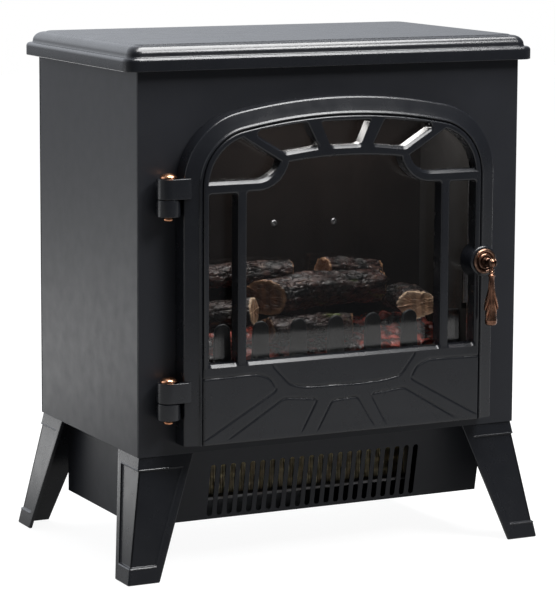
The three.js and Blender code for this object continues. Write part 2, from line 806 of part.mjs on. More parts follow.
// A rocker at rest in its off position: the lower half stands out.
function makeRocker(x, z) {
  const [half, tall] = rockerHalf;
  const pivot = plateFace - 3;
  const corners = [
    [-4, -tall + 2.5],
    [4.6, -tall],
    [4.2, 0],
    [4.6, tall],
    [-4, tall - 2.5],
  ];
  const tilt = THREE.MathUtils.degToRad(rockerTilt);
  const turnedCorners = corners.map(([y, up]) => [
    pivot + y * Math.cos(tilt) - up * Math.sin(tilt),
    z + y * Math.sin(tilt) + up * Math.cos(tilt),
  ]);
  return alongX(polygon(turnedCorners), x - half, x + half);
}

// ---------------------------------------------------------------------------------------------------------
// Legs: tapered angle sections that splay outwards, with a framed recess on both outer faces
// ---------------------------------------------------------------------------------------------------------
// Corners of a leg at a share of its height (0 floor, 1 top), moved in from the two outer faces by inset.
// open pushes the two inner sides outwards, so that the same function makes the hollow.
function legRing(signX, signY, share, height, inset, open) {
  const mix = (foot, top) => foot + (top - foot) * share;
  const outX = mix(footReachX, halfWidth - legTopInset) - inset;
  const outY = mix(footReachY, halfDepth - legTopInset) - inset;
  const inX = outX + inset - mix(footWidthX, legTopX) - open;
  const inY = outY + inset - mix(footWidthY, legTopY) - open;
  const ring = [
    [signX * outX, signY * outY, height],
    [signX * inX, signY * outY, height],
    [signX * inX, signY * inY, height],
    [signX * outX, signY * inY, height],
  ];
  return signX * signY > 0 ? ring : ring.reverse();
}

function makeLeg(name, signX, signY) {
  const top = cabinetBottom - gap;
  const outside = loft([legRing(signX, signY, 0, 0, 0, 0), legRing(signX, signY, 1, top, 0, 0)]);
  const at = (height, inset, open) => legRing(signX, signY, height / top, height, inset, open);
  const hollow = loft([at(-2, legWall, 12), at(top - legFlange, legWall, 12)]);
  // The recess lies on both outer faces and leaves a foot band, a collar and two side borders.
  const recessLow = 17;
  const recessHigh = top - 13;
  const border = 9;
  const thick = 30;
  const shell = loft([at(recessLow, -thick, -border), at(recessHigh, -thick, -border)]);
  const core = loft([at(recessLow - 9, legRelief, thick), at(recessHigh + 9, legRelief, thick)]);
  const housingRoom = alongX(housingOutline(gap), -housingHalf - gap, housingHalf + gap);
  const leg = cut(outside, [hollow, shell.subtract(core), housingRoom]);
  addNode(name, leg, blackPlastic);
}

// ---------------------------------------------------------------------------------------------------------
// Heater housing under the cabinet
// ---------------------------------------------------------------------------------------------------------

function makeHeaterHousing() {
  const half = housingHalf;
  const front = polygon([
    [grilleFrontAt(housingBottom), housingBottom],
    [grilleFrontAt(housingBottom) + sheet, housingBottom],
    [grilleFrontAt(housingTop) + sheet, housingTop],
    [grilleFrontAt(housingTop), housingTop],
  ]);
  const middleY = (grilleFrontAt(slotLow) + grilleFrontAt(slotHigh)) / 2;
  const slots = [];
  for (let i = 0; i < slotCount; i++) {
    const x = (i - (slotCount - 1) / 2) * slotPitch;
    const slot = roundedSlot(x, slotLow, slotHigh, slotWidth / 2);
    slots.push(frontPlate(slot, middleY - 16, middleY + 16, 4));
  }
  addNode("outlet_grille", cut(alongX(front, -half, half), slots), blackSteel);

  const outer = housingSection(0);
  const inner = housingSection(sheet);
  const tray = alongX(outer, -half, half).subtract(alongX(inner, -half + sheet, half - sheet));
  const intake = [];
  for (let i = 0; i < 12; i++) {
    const x = (i - 5.5) * 14;
    const slot = roundedSlot(x, slotLow + 16, slotHigh + 2, slotWidth / 2);
    intake.push(frontPlate(slot, housingBack - 5, housingBack + 5, 4));
  }
  addNode("heater_housing", cut(tray, intake), blackSteel);
}

// Side view of the whole housing with its grille, made larger by grow.
function housingOutline(grow) {
  return polygon([
    [grilleFrontAt(housingBottom) - grow, housingBottom - grow],
    [housingBack + grow, housingBottom - grow],
    [housingBack + grow, cabinetBottom + 5],
    [grilleFrontAt(cabinetBottom + 5) - grow, cabinetBottom + 5],
  ]);
}

// Side view of the housing behind the grille, moved in by inset, and open at the top when inset.
function housingSection(inset) {
  const clear = sheet + gap;
  const low = housingBottom + inset;
  const high = inset > 0 ? housingTop + 5 : housingTop;
  const open = inset > 0 ? 20 : 0;
  return polygon([
    [grilleFrontAt(low) + clear - open, low],
    [housingBack - inset, low],
    [housingBack - inset, high],
    [grilleFrontAt(high) + clear - open, high],
  ]);
}

function roundedSlot(x, low, high, radius) {
  const slot = new THREE.Shape();
  slot.absarc(x, high - radius, radius, 0, Math.PI, false);
  slot.absarc(x, low + radius, radius, Math.PI, 2 * Math.PI, false);
  slot.closePath();
  return slot;
}

function makeHeater() {
  const duct = { x: rotorHalf + 18, low: slotLow + 10, high: slotHigh - 3 };
  const rail = 3;
  const outside = block(-duct.x, elementFront, duct.low, duct.x, elementBack, duct.high);
  const clear = duct.x - rail;
  const inside = block(-clear, elementFront - 1, duct.low + rail, clear, elementBack + 1, duct.high - rail);
  addNode("element_frame", outside.subtract(inside), brightMetal);

  const finCount = 34;
  const finPitch = (2 * clear - 8) / (finCount - 1);
  const coreFront = elementFront + 12;
  const coreX = clear - gap;
  const tubes = [10, 21.5, 33].map((rise) =>
    block(-coreX, coreFront, duct.low + rise - 3, coreX, coreFront + 16, duct.low + rise + 3),
  );
  const fins = [];
  for (let i = 0; i < finCount; i++) {
    const x = (i - (finCount - 1) / 2) * finPitch;
    const low = duct.low + rail + gap;
    fins.push(block(x - 0.5, coreFront - 5, low, x + 0.5, coreFront + 21, duct.high - rail - gap));
  }
  addNode("heating_element", join([...tubes, ...fins]), brightMetal);

  const cutout = join([
    cylinder("z", 9, 9, duct.high + gap, duct.high + 4, [60, elementFront + 20, 0], 20),
    cylinder("z", 6.5, 6.5, duct.high + 3, duct.high + 9, [60, elementFront + 20, 0], 20),
  ]);
  addNode("thermal_cutout", cutout, whitePlastic);
}

function makeBlower() {
  const half = rotorHalf;
  const at = [0, rotorY, rotorHeight];
  const discs = [-half, -half / 3, half / 3, half - 2].map((x) =>
    cylinder("x", rotorRadius, rotorRadius, x, x + 2, at, 20),
  );
  const bladeCount = 16;
  const blades = [];
  for (let i = 0; i < bladeCount; i++) {
    const geometry = new THREE.BoxGeometry(2 * half, 7, 0.9);
    geometry.rotateX(Math.PI / 5);
    geometry.translate(0, rotorRadius - 3.4, 0);
    geometry.rotateX((i * 2 * Math.PI) / bladeCount);
    geometry.translate(...at);
    blades.push(toSolid(geometry));
  }
  const shaft = cylinder("x", shaftRadius, shaftRadius, -half - 14, half + 16, at, 12);
  addNode("blower_rotor", join([...discs, ...blades, shaft]), brightMetal);

  const inner = rotorRadius + scrollAir;
  const wall = 1.6;
  const scroll = new THREE.Shape();
  scroll.absarc(rotorY, rotorHeight, inner + wall, Math.PI * 0.5, -Math.PI * 0.15, true);
  scroll.absarc(rotorY, rotorHeight, inner, -Math.PI * 0.15, Math.PI * 0.5, false);
  scroll.lineTo(elementBack + 2, rotorHeight + inner);
  scroll.lineTo(elementBack + 2, rotorHeight + inner + wall);
  scroll.closePath();
  const cover = alongX(scroll, -half - 4, half + 4, 14);
  addNode("blower_scroll", cover, brightMetal);

  const motorX = half + 18;
  const low = rotorHeight - 24;
  const stack = block(motorX, rotorY - 21, low, motorX + 26, rotorY + 21, low + 48);
  const bell = cylinder("x", 14, 14, motorX + 25, motorX + 36, at, 20);
  addNode("blower_motor", stack.add(bell), innerBlack);

  const blockX = -housingHalf + 15.5;
  const blockZ = housingBottom + 17.6;
  const terminals = block(blockX, rotorY - 10, blockZ, blockX + 25, rotorY + 22, blockZ + 16);
  addNode("terminal_block", terminals, whitePlastic);
}

// ---------------------------------------------------------------------------------------------------------
// Firebox: liner, flame screen, grate, ember bed and logs
// ---------------------------------------------------------------------------------------------------------
function makeFirebox() {
  const wide = fireboxHalf + sheet;
  for (const [side, sign] of [["left", -1], ["right", 1]]) {
    const wall = sideBlock(sign * wide, sign, sheet, fireboxFront, fireboxBack, fireboxFloor, fireboxTop);
    addNode(`firebox_${side}_wall`, wall, innerBlack);
  }
  const roofLow = fireboxTop + gap;
  const roof = block(-wide, fireboxFront, roofLow, wide, fireboxBack, roofLow + sheet);
  addNode("firebox_roof", roof, innerBlack);
  const floorTop = fireboxFloor - gap;
  const floor = block(-wide, fireboxFront, floorTop - sheet, wide, fireboxBack, floorTop);
  addNode("firebox_floor", floor, innerBlack);

  const reach = fireboxHalf - gap;
  const screen = block(-reach, screenY, fireboxFloor, reach, screenY + screenThickness, fireboxTop);
  addNode("flame_screen", screen, smokedAcrylic);
}

function makeGrate() {
  const reach = fireboxHalf - 1;
  const postTop = toothTop - 3;
  const outline = new THREE.Shape();
  outline.moveTo(-reach, fireboxFloor);
  outline.lineTo(reach, fireboxFloor);
  outline.lineTo(reach, postTop);
  outline.lineTo(reach - gratePost, postTop);
  outline.lineTo(reach - gratePost - 2, toothRoot);
  const foot = toothWidth / 2;
  const shoulder = foot - 1.5;
  const pairs = Math.floor((reach - gratePost - 2 - foot) / toothPitch + 0.5);
  for (let i = 2 * pairs - 1; i >= 0; i--) {
    const x = (i - pairs + 0.5) * toothPitch;
    outline.lineTo(x + foot, toothRoot);
    outline.lineTo(x + shoulder, toothTop - 9);
    outline.quadraticCurveTo(x + shoulder - 1, toothTop, x, toothTop);
    outline.quadraticCurveTo(x - shoulder + 1, toothTop, x - shoulder, toothTop - 9);
    outline.lineTo(x - foot, toothRoot);
  }
  outline.lineTo(-reach + gratePost + 2, toothRoot);
  outline.lineTo(-reach + gratePost, postTop);
  outline.lineTo(-reach, postTop);
  outline.closePath();
  addNode("fire_grate", frontPlate(outline, grateY, grateY + grateThickness, 4), blackSteel);
}

// Top of the ember bed at a place from front to back: it rises towards the screen.
const bedFront = grateY + grateThickness + 1;
const bedBack = screenY - 1;
const bedHeightAt = (y) => fireboxFloor + bedLift + (20 * (y - bedFront)) / (bedBack - bedFront);

function makeEmberBed() {
  const reach = fireboxHalf - 1;
  const section = polygon([
    [bedFront, bedHeightAt(bedFront) - 14],
    [bedFront + 4, bedHeightAt(bedFront) - 14],
    [bedFront + 4, bedHeightAt(bedFront) - 4],
    [bedBack, bedHeightAt(bedBack) - 4],
    [bedBack, bedHeightAt(bedBack)],
    [bedFront, bedHeightAt(bedFront)],
  ]);
  addNode("ember_bed", alongX(section, -reach, reach), ember);
}

// A log is a run of uneven rings along a straight axis. Each ring leans on two waves, so no two sides
// match.
function makeLog(name, from, to, radiusFrom, radiusTo, phase) {
  const start = new THREE.Vector3(...from);
  const end = new THREE.Vector3(...to);
  const along = end.clone().sub(start).normalize();
  const side = new THREE.Vector3(0, 0, 1).cross(along).normalize();
  const up = along.clone().cross(side);
  const stations = 7;
  const points = 14;
  const rings = [];
  for (let s = 0; s < stations; s++) {
    const share = s / (stations - 1);
    const middle = start.clone().lerp(end, share);
    const mean = THREE.MathUtils.lerp(radiusFrom, radiusTo, share);
    const ring = [];
    for (let i = 0; i < points; i++) {
      const angle = (i * 2 * Math.PI) / points;
      const wave = 0.06 * Math.sin(3 * angle + phase + 2 * share) - 0.05 * Math.cos(2 * angle + 5 * share);
      const radius = mean * (0.94 + wave);
      const point = middle
        .clone()
        .addScaledVector(side, radius * Math.cos(angle))
        .addScaledVector(up, radius * Math.sin(angle));
      ring.push([point.x, point.y, point.z]);
    }
    rings.push(ring);
  }
  addNode(name, loft(rings), bark);
}

// A place on the bed: share of the half width, distance behind the grate, height above the firebox floor.
const onBed = (share, behind, lift) => [share * fireboxHalf, grateY + behind, fireboxFloor + lift];

function makeLogs() {
  makeLog("log_top", onBed(-0.27, 27, 101), onBed(0.57, 45, 102), 20, 18, 0.4);
  makeLog("log_front", onBed(-0.3, 17, 67), onBed(0.51, 19, 66), 13, 13.5, 1.7);
  makeLog("log_left", onBed(-0.87, 35, 78), onBed(-0.37, 19, 88), 17, 15, 3.1);
  makeLog("log_right", onBed(0.76, 19, 82), onBed(0.78, 71, 84), 19, 17, 4.4);
  makeLog("log_rear_left", onBed(-0.8, 70, 116), onBed(-0.02, 73, 118), 13, 12.5, 5.2);
  makeLog("log_rear_right", onBed(0.1, 71, 121), onBed(0.65, 73, 111), 12.5, 12, 2.6);
}

// ---------------------------------------------------------------------------------------------------------
// Flame effect behind the screen and under the bed
// ---------------------------------------------------------------------------------------------------------
function makeFlameEffect() {
  const half = spindleHalf;
  const at = [0, spindleY, spindleHeight];
  const rod = cylinder("x", shaftRadius, shaftRadius, -half - 12, half + 10, at, 12);
  const bladeCount = 14;
  const blades = [];
  for (let i = 0; i < bladeCount; i++) {
    const geometry = new THREE.BoxGeometry(15, 2 * spindleReach, 0.8);
    geometry.rotateX((i * Math.PI * 2) / 5);
    geometry.translate(-half + 10 + (i * (2 * half - 20)) / (bladeCount - 1), 0, 0);
    geometry.translate(...at);
    blades.push(toSolid(geometry));
  }
  addNode("flame_spindle", join([rod, ...blades]), brightMetal);

  const motor = cylinder("x", 20, 20, half + 11, half + 28, [0, spindleY, spindleHeight], 24);
  addNode("spindle_motor", motor, brightMetal);
  const upright = -half - 10;
  const bracket = join([
    block(upright, spindleY - 8, fireboxFloor + 1.5, upright + 3, spindleY + 8, spindleHeight + 10),
    block(upright - 14, spindleY - 8, fireboxFloor, upright + 3, spindleY + 8, fireboxFloor + 2),
  ]);
  const boreRadius = shaftRadius + runningGap;
  const bore = cylinder("x", boreRadius, boreRadius, upright - 4, upright + 6, at, 12);
  addNode("spindle_bracket", bracket.subtract(bore), brightMetal);

  for (const [side, sign] of [["left", -1], ["right", 1]]) makeLamp(side, sign);
}

function makeLamp(side, sign) {
  const lampY = grateY + 45;
  const lampZ = fireboxFloor + lampRadius + 3;
  const socketLength = 26;
  const base = sign * (fireboxHalf - 32);
  const low = Math.min(base, base - sign * socketLength);
  const foot = block(low + 4, lampY - 8, fireboxFloor, low + 22, lampY + 8, lampZ - 8);
  const socket = cylinder("x", 11, 11, low, low + socketLength, [0, lampY, lampZ], 20);
  addNode(`lampholder_${side}`, socket.add(foot), whitePlastic);
  const bulbProfile = [
    [0, 0],
    [7, 0],
    [7, 12],
    [15, 26],
    [lampRadius, 38],
    [13, 54],
    [6, lampLength - 6],
    [0, lampLength],
  ].map(([radius, height]) => new THREE.Vector2(radius, height));
  const geometry = new THREE.LatheGeometry(bulbProfile, 16);
  geometry.rotateZ((sign * Math.PI) / 2);
  geometry.translate(base - sign * (socketLength + gap), lampY, lampZ);
  addNode(`lamp_${side}`, toSolid(geometry), bulbGlass);
}

makeLid();
makeDoor();
makeHinge("lower", lowerSplit);
makeHinge("upper", upperSplit);
makeHandle();
makeCatch();
makeCasing();
makeBackPanel();
makeControls();
makeLeg("leg_front_left", -1, -1);
makeLeg("leg_front_right", 1, -1);
makeLeg("leg_rear_left", -1, 1);
makeLeg("leg_rear_right", 1, 1);
makeHeaterHousing();
makeHeater();
makeBlower();
makeFirebox();
makeGrate();
makeEmberBed();
makeLogs();
makeFlameEffect();

export default stove;
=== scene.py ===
"""Looks of a small electric stove fireplace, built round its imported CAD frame.

Every shape is worked out in the cabinet's own millimetres: X across, Y to the back, Z up, with the
cabinet's middle plane at Y 0 and the floor at Z 0. build() turns them into metres in the CAD frame.
"""

import logging
import math
from dataclasses import dataclass, field
from enum import Enum
from typing import Callable, Sequence

import bmesh
import bpy
import numpy as np
from mathutils import Matrix, Vector


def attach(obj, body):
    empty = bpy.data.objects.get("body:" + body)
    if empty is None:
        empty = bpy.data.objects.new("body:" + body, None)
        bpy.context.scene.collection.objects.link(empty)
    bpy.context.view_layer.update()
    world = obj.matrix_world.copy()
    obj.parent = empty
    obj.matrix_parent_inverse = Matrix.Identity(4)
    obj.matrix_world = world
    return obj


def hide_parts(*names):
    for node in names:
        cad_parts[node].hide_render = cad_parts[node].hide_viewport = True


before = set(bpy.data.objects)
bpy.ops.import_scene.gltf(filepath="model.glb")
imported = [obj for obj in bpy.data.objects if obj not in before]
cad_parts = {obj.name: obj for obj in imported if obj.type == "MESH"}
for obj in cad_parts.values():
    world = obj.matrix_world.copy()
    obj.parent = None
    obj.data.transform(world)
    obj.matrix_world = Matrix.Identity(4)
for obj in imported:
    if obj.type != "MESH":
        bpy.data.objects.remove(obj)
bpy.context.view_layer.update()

log = logging.getLogger("stove")
Array = np.ndarray
Pair = tuple[float, float]
Triple = tuple[float, float, float]
MIDDLE_Y = 15.15  # cabinet's middle plane behind the middle of the whole box
MM = 0.001  # metres in a millimetre
SEAM = 2e-6  # metres, points closer than this are one
SHARP = math.radians(40)  # edges of a CAD node past this angle are rounded
NOISE_RANGE = (0.3, 0.7)  # where nearly all of a noise's values lie
HASH_STEPS = np.array([374761393, 668265263, 914785193])  # one large prime for each axis
HASH_SEED, HASH_MIX = 27183, 1274126177


# ------------------------------------------------------------------------------------------------
# Surfaces
# ------------------------------------------------------------------------------------------------
class Axis(Enum):
    """The line that a turned piece is turned about."""

    X = (1, 2, 0)
    Y = (2, 0, 1)
    Z = (0, 1, 2)


@dataclass
class Shell:
    """A surface in millimetres.

    Attributes:
        points: One row of X, Y and Z for each point.
        faces: Arrays of corner numbers, one array for each count of corners.
        marks: Named values, one for each point, which a finish may read.
    """

    points: Array
    faces: list[Array]
    marks: dict[str, Array] = field(default_factory=dict)

    def moved(self, by: Sequence[float]) -> "Shell":
        """The same shell shifted by a vector."""
        return Shell(self.points + np.asarray(by, float), self.faces, self.marks)

    def bent(self, rule: Callable[[Array], Array]) -> "Shell":
        """The same shell with its points sent through a rule."""
        return Shell(rule(self.points.copy()), self.faces, self.marks)

    def mirrored(self, column: int = 0) -> "Shell":
        """The shell on the other side of the plane through 0 across one axis.

        Args:
            column: 0, 1 or 2 for the axis whose sign changes.

        Returns:
            The mirrored shell, with its faces still outwards.
        """
        points = self.points.copy()
        points[:, column] *= -1
        return Shell(points, [f[:, ::-1] for f in self.faces], self.marks)


def joined(shells: Sequence[Shell]) -> Shell:
    """All shells as one, each keeping its own points.

    Args:
        shells: The shells in order.

    Returns:
        One shell. A mark that a shell lacks is 0 on its points.
    """
    names = {name for shell in shells for name in shell.marks}
    marks = {
        name: np.concatenate([s.marks.get(name, np.zeros(len(s.points))) for s in shells])
        for name in names
    }
    offsets = np.cumsum([0] + [len(s.points) for s in shells])
    faces = [f + offset for s, offset in zip(shells, offsets) for f in s.faces]
    return Shell(np.concatenate([s.points for s in shells]), faces, marks)


def grid_faces(rows: int, columns: int, wrap_rows: bool = False, wrap_columns: bool = False) -> Array:
    """Quads between neighbours on a grid of points, closed round either way if wrapped.

    Args:
        rows: Rows of points.
        columns: Points in each row.
        wrap_rows: Join the last row to the first.
        wrap_columns: Join each row's last point to its first.

    Returns:
        Four corner numbers for each quad.
    """
    r = np.arange(rows if wrap_rows else rows - 1)
    c = np.arange(columns if wrap_columns else columns - 1)
    low, left = np.meshgrid(r, c, indexing="ij")
    high, right = (low + 1) % rows, (left + 1) % columns
    corners = [low * columns + left, low * columns + right, high * columns + right, high * columns + left]
    return np.stack(corners, -1).reshape(-1, 4)


def lofted(rings: Array, caps: bool = True, wrap_rings: bool = False) -> Shell:
    """A closed surface through rings of equally many points.

    Args:
        rings: Points of shape (ring, point, 3).
        caps: Close the first and last ring with a flat face.
        wrap_rings: Join the last ring to the first, as on a torus.

    Returns:
        The shell, with quads between neighbouring rings.
    """
    count, across = rings.shape[:2]
    faces = [grid_faces(count, across, wrap_rings, True)]
    if caps and not wrap_rings:
        faces += [np.arange(across)[None, ::-1], np.arange(across)[None] + (count - 1) * across]
    return Shell(rings.reshape(-1, 3), faces)


def turned(
    profile: Sequence[Pair],
    centre: Triple,
    axis: Axis = Axis.Z,
    steps: int = 48,
    flat: Pair = (1.0, 1.0),
    loop: bool = False,
) -> Shell:
    """A turned piece: the point at height h and angle a lies at radius r(h), along (cos a, sin a).

    Args:
        profile: Radius and height of each step along the outline.
        centre: Where the axis passes, added to every point.
        axis: The line it is turned about.
        steps: Points round the axis.
        flat: Shares of the radius in the two directions across the axis.
        loop: The profile is a closed outline that doesn't touch the axis.

    Returns:
        The closed shell.
    """
    radius, height = np.asarray(profile, float).T
    angle = np.linspace(0, 2 * np.pi, steps, endpoint=False)
    local = np.empty((len(radius), steps, 3))
    local[..., 0] = radius[:, None] * np.cos(angle) * flat[0]
    local[..., 1] = radius[:, None] * np.sin(angle) * flat[1]
    local[..., 2] = height[:, None]
    placed = np.empty_like(local)
    placed[..., list(axis.value)] = local
    return lofted(placed + np.asarray(centre, float), caps=False, wrap_rings=loop)


def arc(centre: Pair, radius: float, start: float, end: float, count: int = 12) -> Array:
    """Points on a circle, from one angle in degrees to another."""
    angle = np.radians(np.linspace(start, end, count))
    return np.stack([centre[0] + radius * np.cos(angle), centre[1] + radius * np.sin(angle)], -1)


def softened(corners: Sequence[Pair], radius: float, steps: int = 5) -> Array:
    """A polygon with each corner replaced by a quadratic curve that starts this far from it.

    Args:
        corners: The polygon.
        radius: Distance from a corner to the start of its curve.
        steps: Points on each curve.

    Returns:
        The outline.
    """
    points = np.asarray(corners, float)
    before, after = np.roll(points, 1, 0) - points, np.roll(points, -1, 0) - points
    into = points + before / np.linalg.norm(before, axis=1, keepdims=True) * radius
    out = points + after / np.linalg.norm(after, axis=1, keepdims=True) * radius
    t = np.linspace(0, 1, steps)[None, :, None]
    curve = (1 - t) ** 2 * into[:, None] + 2 * t * (1 - t) * points[:, None] + t**2 * out[:, None]
    return curve.reshape(-1, 2)


def flipped(outline: Array) -> Array:
    """An outline mirrored left to right."""
    return (np.asarray(outline) * (-1, 1))[::-1]


def extruded(outlines: Sequence[Array], thickness: float, edge: float, steps: int = 3) -> Shell:
    """A flat outline with holes, given thickness and rounded edges.

    Args:
        outlines: Closed outlines in two dimensions. Those inside another are holes.
        thickness: Whole thickness, centred on the outline's plane.
        edge: Radius of the rounded edges, which stay inside the outline.
        steps: Bands in each rounded edge.

    Returns:
        A shell whose third coordinate is the thickness.
    """
    curve = bpy.data.curves.new("outline", "CURVE")
    curve.dimensions, curve.fill_mode = "2D", "BOTH"
    curve.extrude, curve.bevel_depth = thickness / 2 - edge, edge
    curve.bevel_resolution, curve.offset = max(0, steps - 1), -edge
    for outline in outlines:
        spline = curve.splines.new("POLY")
        spline.points.add(len(outline) - 1)
        rows = np.zeros((len(outline), 4))
        rows[:, :2], rows[:, 3] = outline, 1
        spline.points.foreach_set("co", rows.ravel())
        spline.use_cyclic_u = True
    holder = bpy.data.objects.new("outline", curve)
    bpy.context.scene.collection.objects.link(holder)
    graph = bpy.context.evaluated_depsgraph_get()
    mesh = bpy.data.meshes.new_from_object(holder.evaluated_get(graph))
    points = np.empty(len(mesh.vertices) * 3)
    mesh.vertices.foreach_get("co", points)
    faces = [np.array([list(p.vertices)]) for p in mesh.polygons]
    bpy.data.objects.remove(holder)
    bpy.data.curves.remove(curve)
    bpy.data.meshes.remove(mesh)
    return Shell(points.reshape(-1, 3), faces)


def upright(outlines: Sequence[Array], front: float, back: float, edge: float, steps: int = 3) -> Shell:
    """A plate drawn in X and Z that lies between two depths.

    Args:
        outlines: Outline and holes.
        front: Y of the front.
        back: Y of the back.
        edge: Radius of the edges.
        steps: Bands in each rounded edge.

    Returns:
        The closed plate.
    """
    flat = extruded(outlines, back - front, edge, steps)
    middle = (front + back) / 2
    points = np.stack([flat.points[:, 0], middle - flat.points[:, 2], flat.points[:, 1]], -1)
    return Shell(points, flat.faces)


def level(outlines: Sequence[Array], low: float, high: float, edge: float, steps: int = 3) -> Shell:
    """A plate drawn in X and Y that lies between two heights."""
    return extruded(outlines, high - low, edge, steps).moved((0, 0, (low + high) / 2))


def across(outlines: Sequence[Array], left: float, right: float, edge: float, steps: int = 3) -> Shell:
    """A bar drawn in Y and Z that lies between two places along X.

    Args:
        outlines: Outline and holes.
        left: X of the left end.
        right: X of the right end.
        edge: Radius of the edges.
        steps: Bands in each rounded edge.

    Returns:
        The closed bar.
    """
    flat = extruded(outlines, right - left, edge, steps)
    points = np.stack([flat.points[:, 2] + (left + right) / 2, flat.points[:, 0], flat.points[:, 1]], -1)
    return Shell(points, flat.faces)


def oblong(x0: float, z0: float, x1: float, z1: float, radius: float = 0.0) -> Array:
    """A rectangle's outline, with rounded corners if it has a radius."""
    corners = [(x0, z0), (x1, z0), (x1, z1), (x0, z1)]
    return softened(corners, radius) if radius else np.asarray(corners, float)


def slot_outline(x: float, low: float, high: float, radius: float, count: int = 9) -> Array:
    """An upright slot with round ends."""
    top, bottom = (x, high - radius), (x, low + radius)
    return np.concatenate([arc(top, radius, 0, 180, count), arc(bottom, radius, 180, 360, count)])


def slab(front: Array, back_y: float) -> Shell:
    """A grid of front points closed by its rim and one flat face at a depth.

    Args:
        front: Points of shape (row, column, 3).
        back_y: Y of the flat back.

    Returns:
        The closed shell.
    """
    rows, columns = front.shape[:2]
    number = np.arange(rows * columns).reshape(rows, columns)
    rim = np.concatenate([number[0], number[1:, -1], number[-1, -2::-1], number[-2:0:-1, 0]])
    behind = front.reshape(-1, 3)[rim].copy()
    behind[:, 1] = back_y
    far = rows * columns + np.arange(len(rim))
    walls = np.stack([rim, np.roll(rim, -1), np.roll(far, -1), far], -1)
    return Shell(
        np.concatenate([front.reshape(-1, 3), behind]),
        [grid_faces(rows, columns), walls, far[None]],
    )


def tube(path: Array, wide: Array, deep: Array, steps: int = 16) -> Shell:
    """A rod along a path in X and Z: each ring is an ellipse across the path's own direction.

    Args:
        path: Points of shape (n, 3).
        wide: Half width across the path, in the plane of X and Z.
        deep: Half depth along Y.
        steps: Points round each ring.

    Returns:
        The shell, closed at both ends.
    """
    along = np.gradient(path, axis=0)
    along /= np.linalg.norm(along, axis=1, keepdims=True)
    side = np.stack([along[:, 2], np.zeros(len(path)), -along[:, 0]], -1)
    angle = np.linspace(0, 2 * np.pi, steps, endpoint=False)
    rings = path[:, None] + side[:, None] * (wide[:, None] * np.cos(angle))[..., None]
    rings[..., 1] += deep[:, None] * np.sin(angle)
    return lofted(rings)


def lattice_noise(points: Array, seed: int) -> Array:
    """Smooth noise from -1 to 1: hashed values on a cubic lattice, blended by a smooth step.

    Args:
        points: Places of shape (n, 3), one unit being one cell.
        seed: Which noise.

    Returns:
        One value for each place.
    """
    cell = np.floor(points).astype(np.int64)
    share = points - cell
    share = share * share * (3 - 2 * share)
    total = np.zeros(len(points))
    for corner in range(8):
        step = np.array([corner & 1, corner >> 1 & 1, corner >> 2 & 1])
        key = (cell + step) @ HASH_STEPS + seed * HASH_SEED
        key = (key ^ (key >> 13)) * HASH_MIX & 0x7FFFFFFF
        key = key ^ (key >> 15)
        weight = np.prod(np.where(step, share, 1 - share), axis=1)
        total += weight * ((key & 0xFFFF) / 32767.5 - 1)
    return total


def layered_noise(points: Array, seed: int, layers: int = 4) -> Array:
    """Lattice noise summed over layers, each twice as fine and half as strong."""
    return sum(lattice_noise(points * 2.0**i, seed + i) * 0.5**i for i in range(layers))


def smooth(value: Array, low: float, high: float) -> Array:
    """0 below low, 1 above high, and a smooth step between."""
    share = np.clip((value - low) / (high - low), 0, 1)
    return share * share * (3 - 2 * share)


# ------------------------------------------------------------------------------------------------
# Pieces
# ------------------------------------------------------------------------------------------------
def even_shading(piece: bpy.types.Object) -> None:
    """Weights a piece's normals by face area, so that flat faces beside roundings look flat."""
    weighted = piece.modifiers.new("even_shading", "WEIGHTED_NORMAL")
    weighted.mode, weighted.weight, weighted.keep_sharp = "FACE_AREA", 50, True


def build(
    name: str,
    shells: Sequence[Shell],
    finish: "Finish",
    body: str,
    replaces: Sequence[str] = (),
    crease: float = 32.0,
) -> bpy.types.Object:
    """Makes a finished piece out of shells and hands it to the frame.

    Args:
        name: Name of the piece.
        shells: Its surfaces, each closed.
        finish: What it is made of.
        body: CAD body that it moves with.
        replaces: CAD nodes that it stands for.
        crease: Angle in degrees past which an edge stays sharp.

    Returns:
        The piece's object.
    """
    whole = joined(shells)
    mesh = bpy.data.meshes.new(name)
    mesh.vertices.add(len(whole.points))
    mesh.vertices.foreach_set("co", ((whole.points + (0, MIDDLE_Y, 0)) * MM).ravel())
    loops = np.concatenate([f.ravel() for f in whole.faces])
    sizes = np.concatenate([np.full(len(f), f.shape[1]) for f in whole.faces])
    mesh.loops.add(len(loops))
    mesh.loops.foreach_set("vertex_index", loops)
    mesh.polygons.add(len(sizes))
    mesh.polygons.foreach_set("loop_start", np.cumsum(sizes) - sizes)
    for mark, values in whole.marks.items():
        mesh.attributes.new(mark, "FLOAT", "POINT").data.foreach_set("value", values)
    mesh.update(calc_edges=True)
    work = bmesh.new()
    work.from_mesh(mesh)
    bmesh.ops.remove_doubles(work, verts=work.verts, dist=SEAM)
    bmesh.ops.recalc_face_normals(work, faces=work.faces)
    work.to_mesh(mesh)
    work.free()
    mesh.polygons.foreach_set("use_smooth", np.ones(len(mesh.polygons), bool))
    mesh.set_sharp_from_angle(angle=math.radians(crease))
    mesh.materials.append(finish.material())
    piece = bpy.data.objects.new(name, mesh)
    even_shading(piece)
    bpy.context.scene.collection.objects.link(piece)
    if replaces:
        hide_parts(*replaces)
    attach(piece, body)
    log.info("%s: %d faces on %s", name, len(mesh.polygons), body)
    return piece


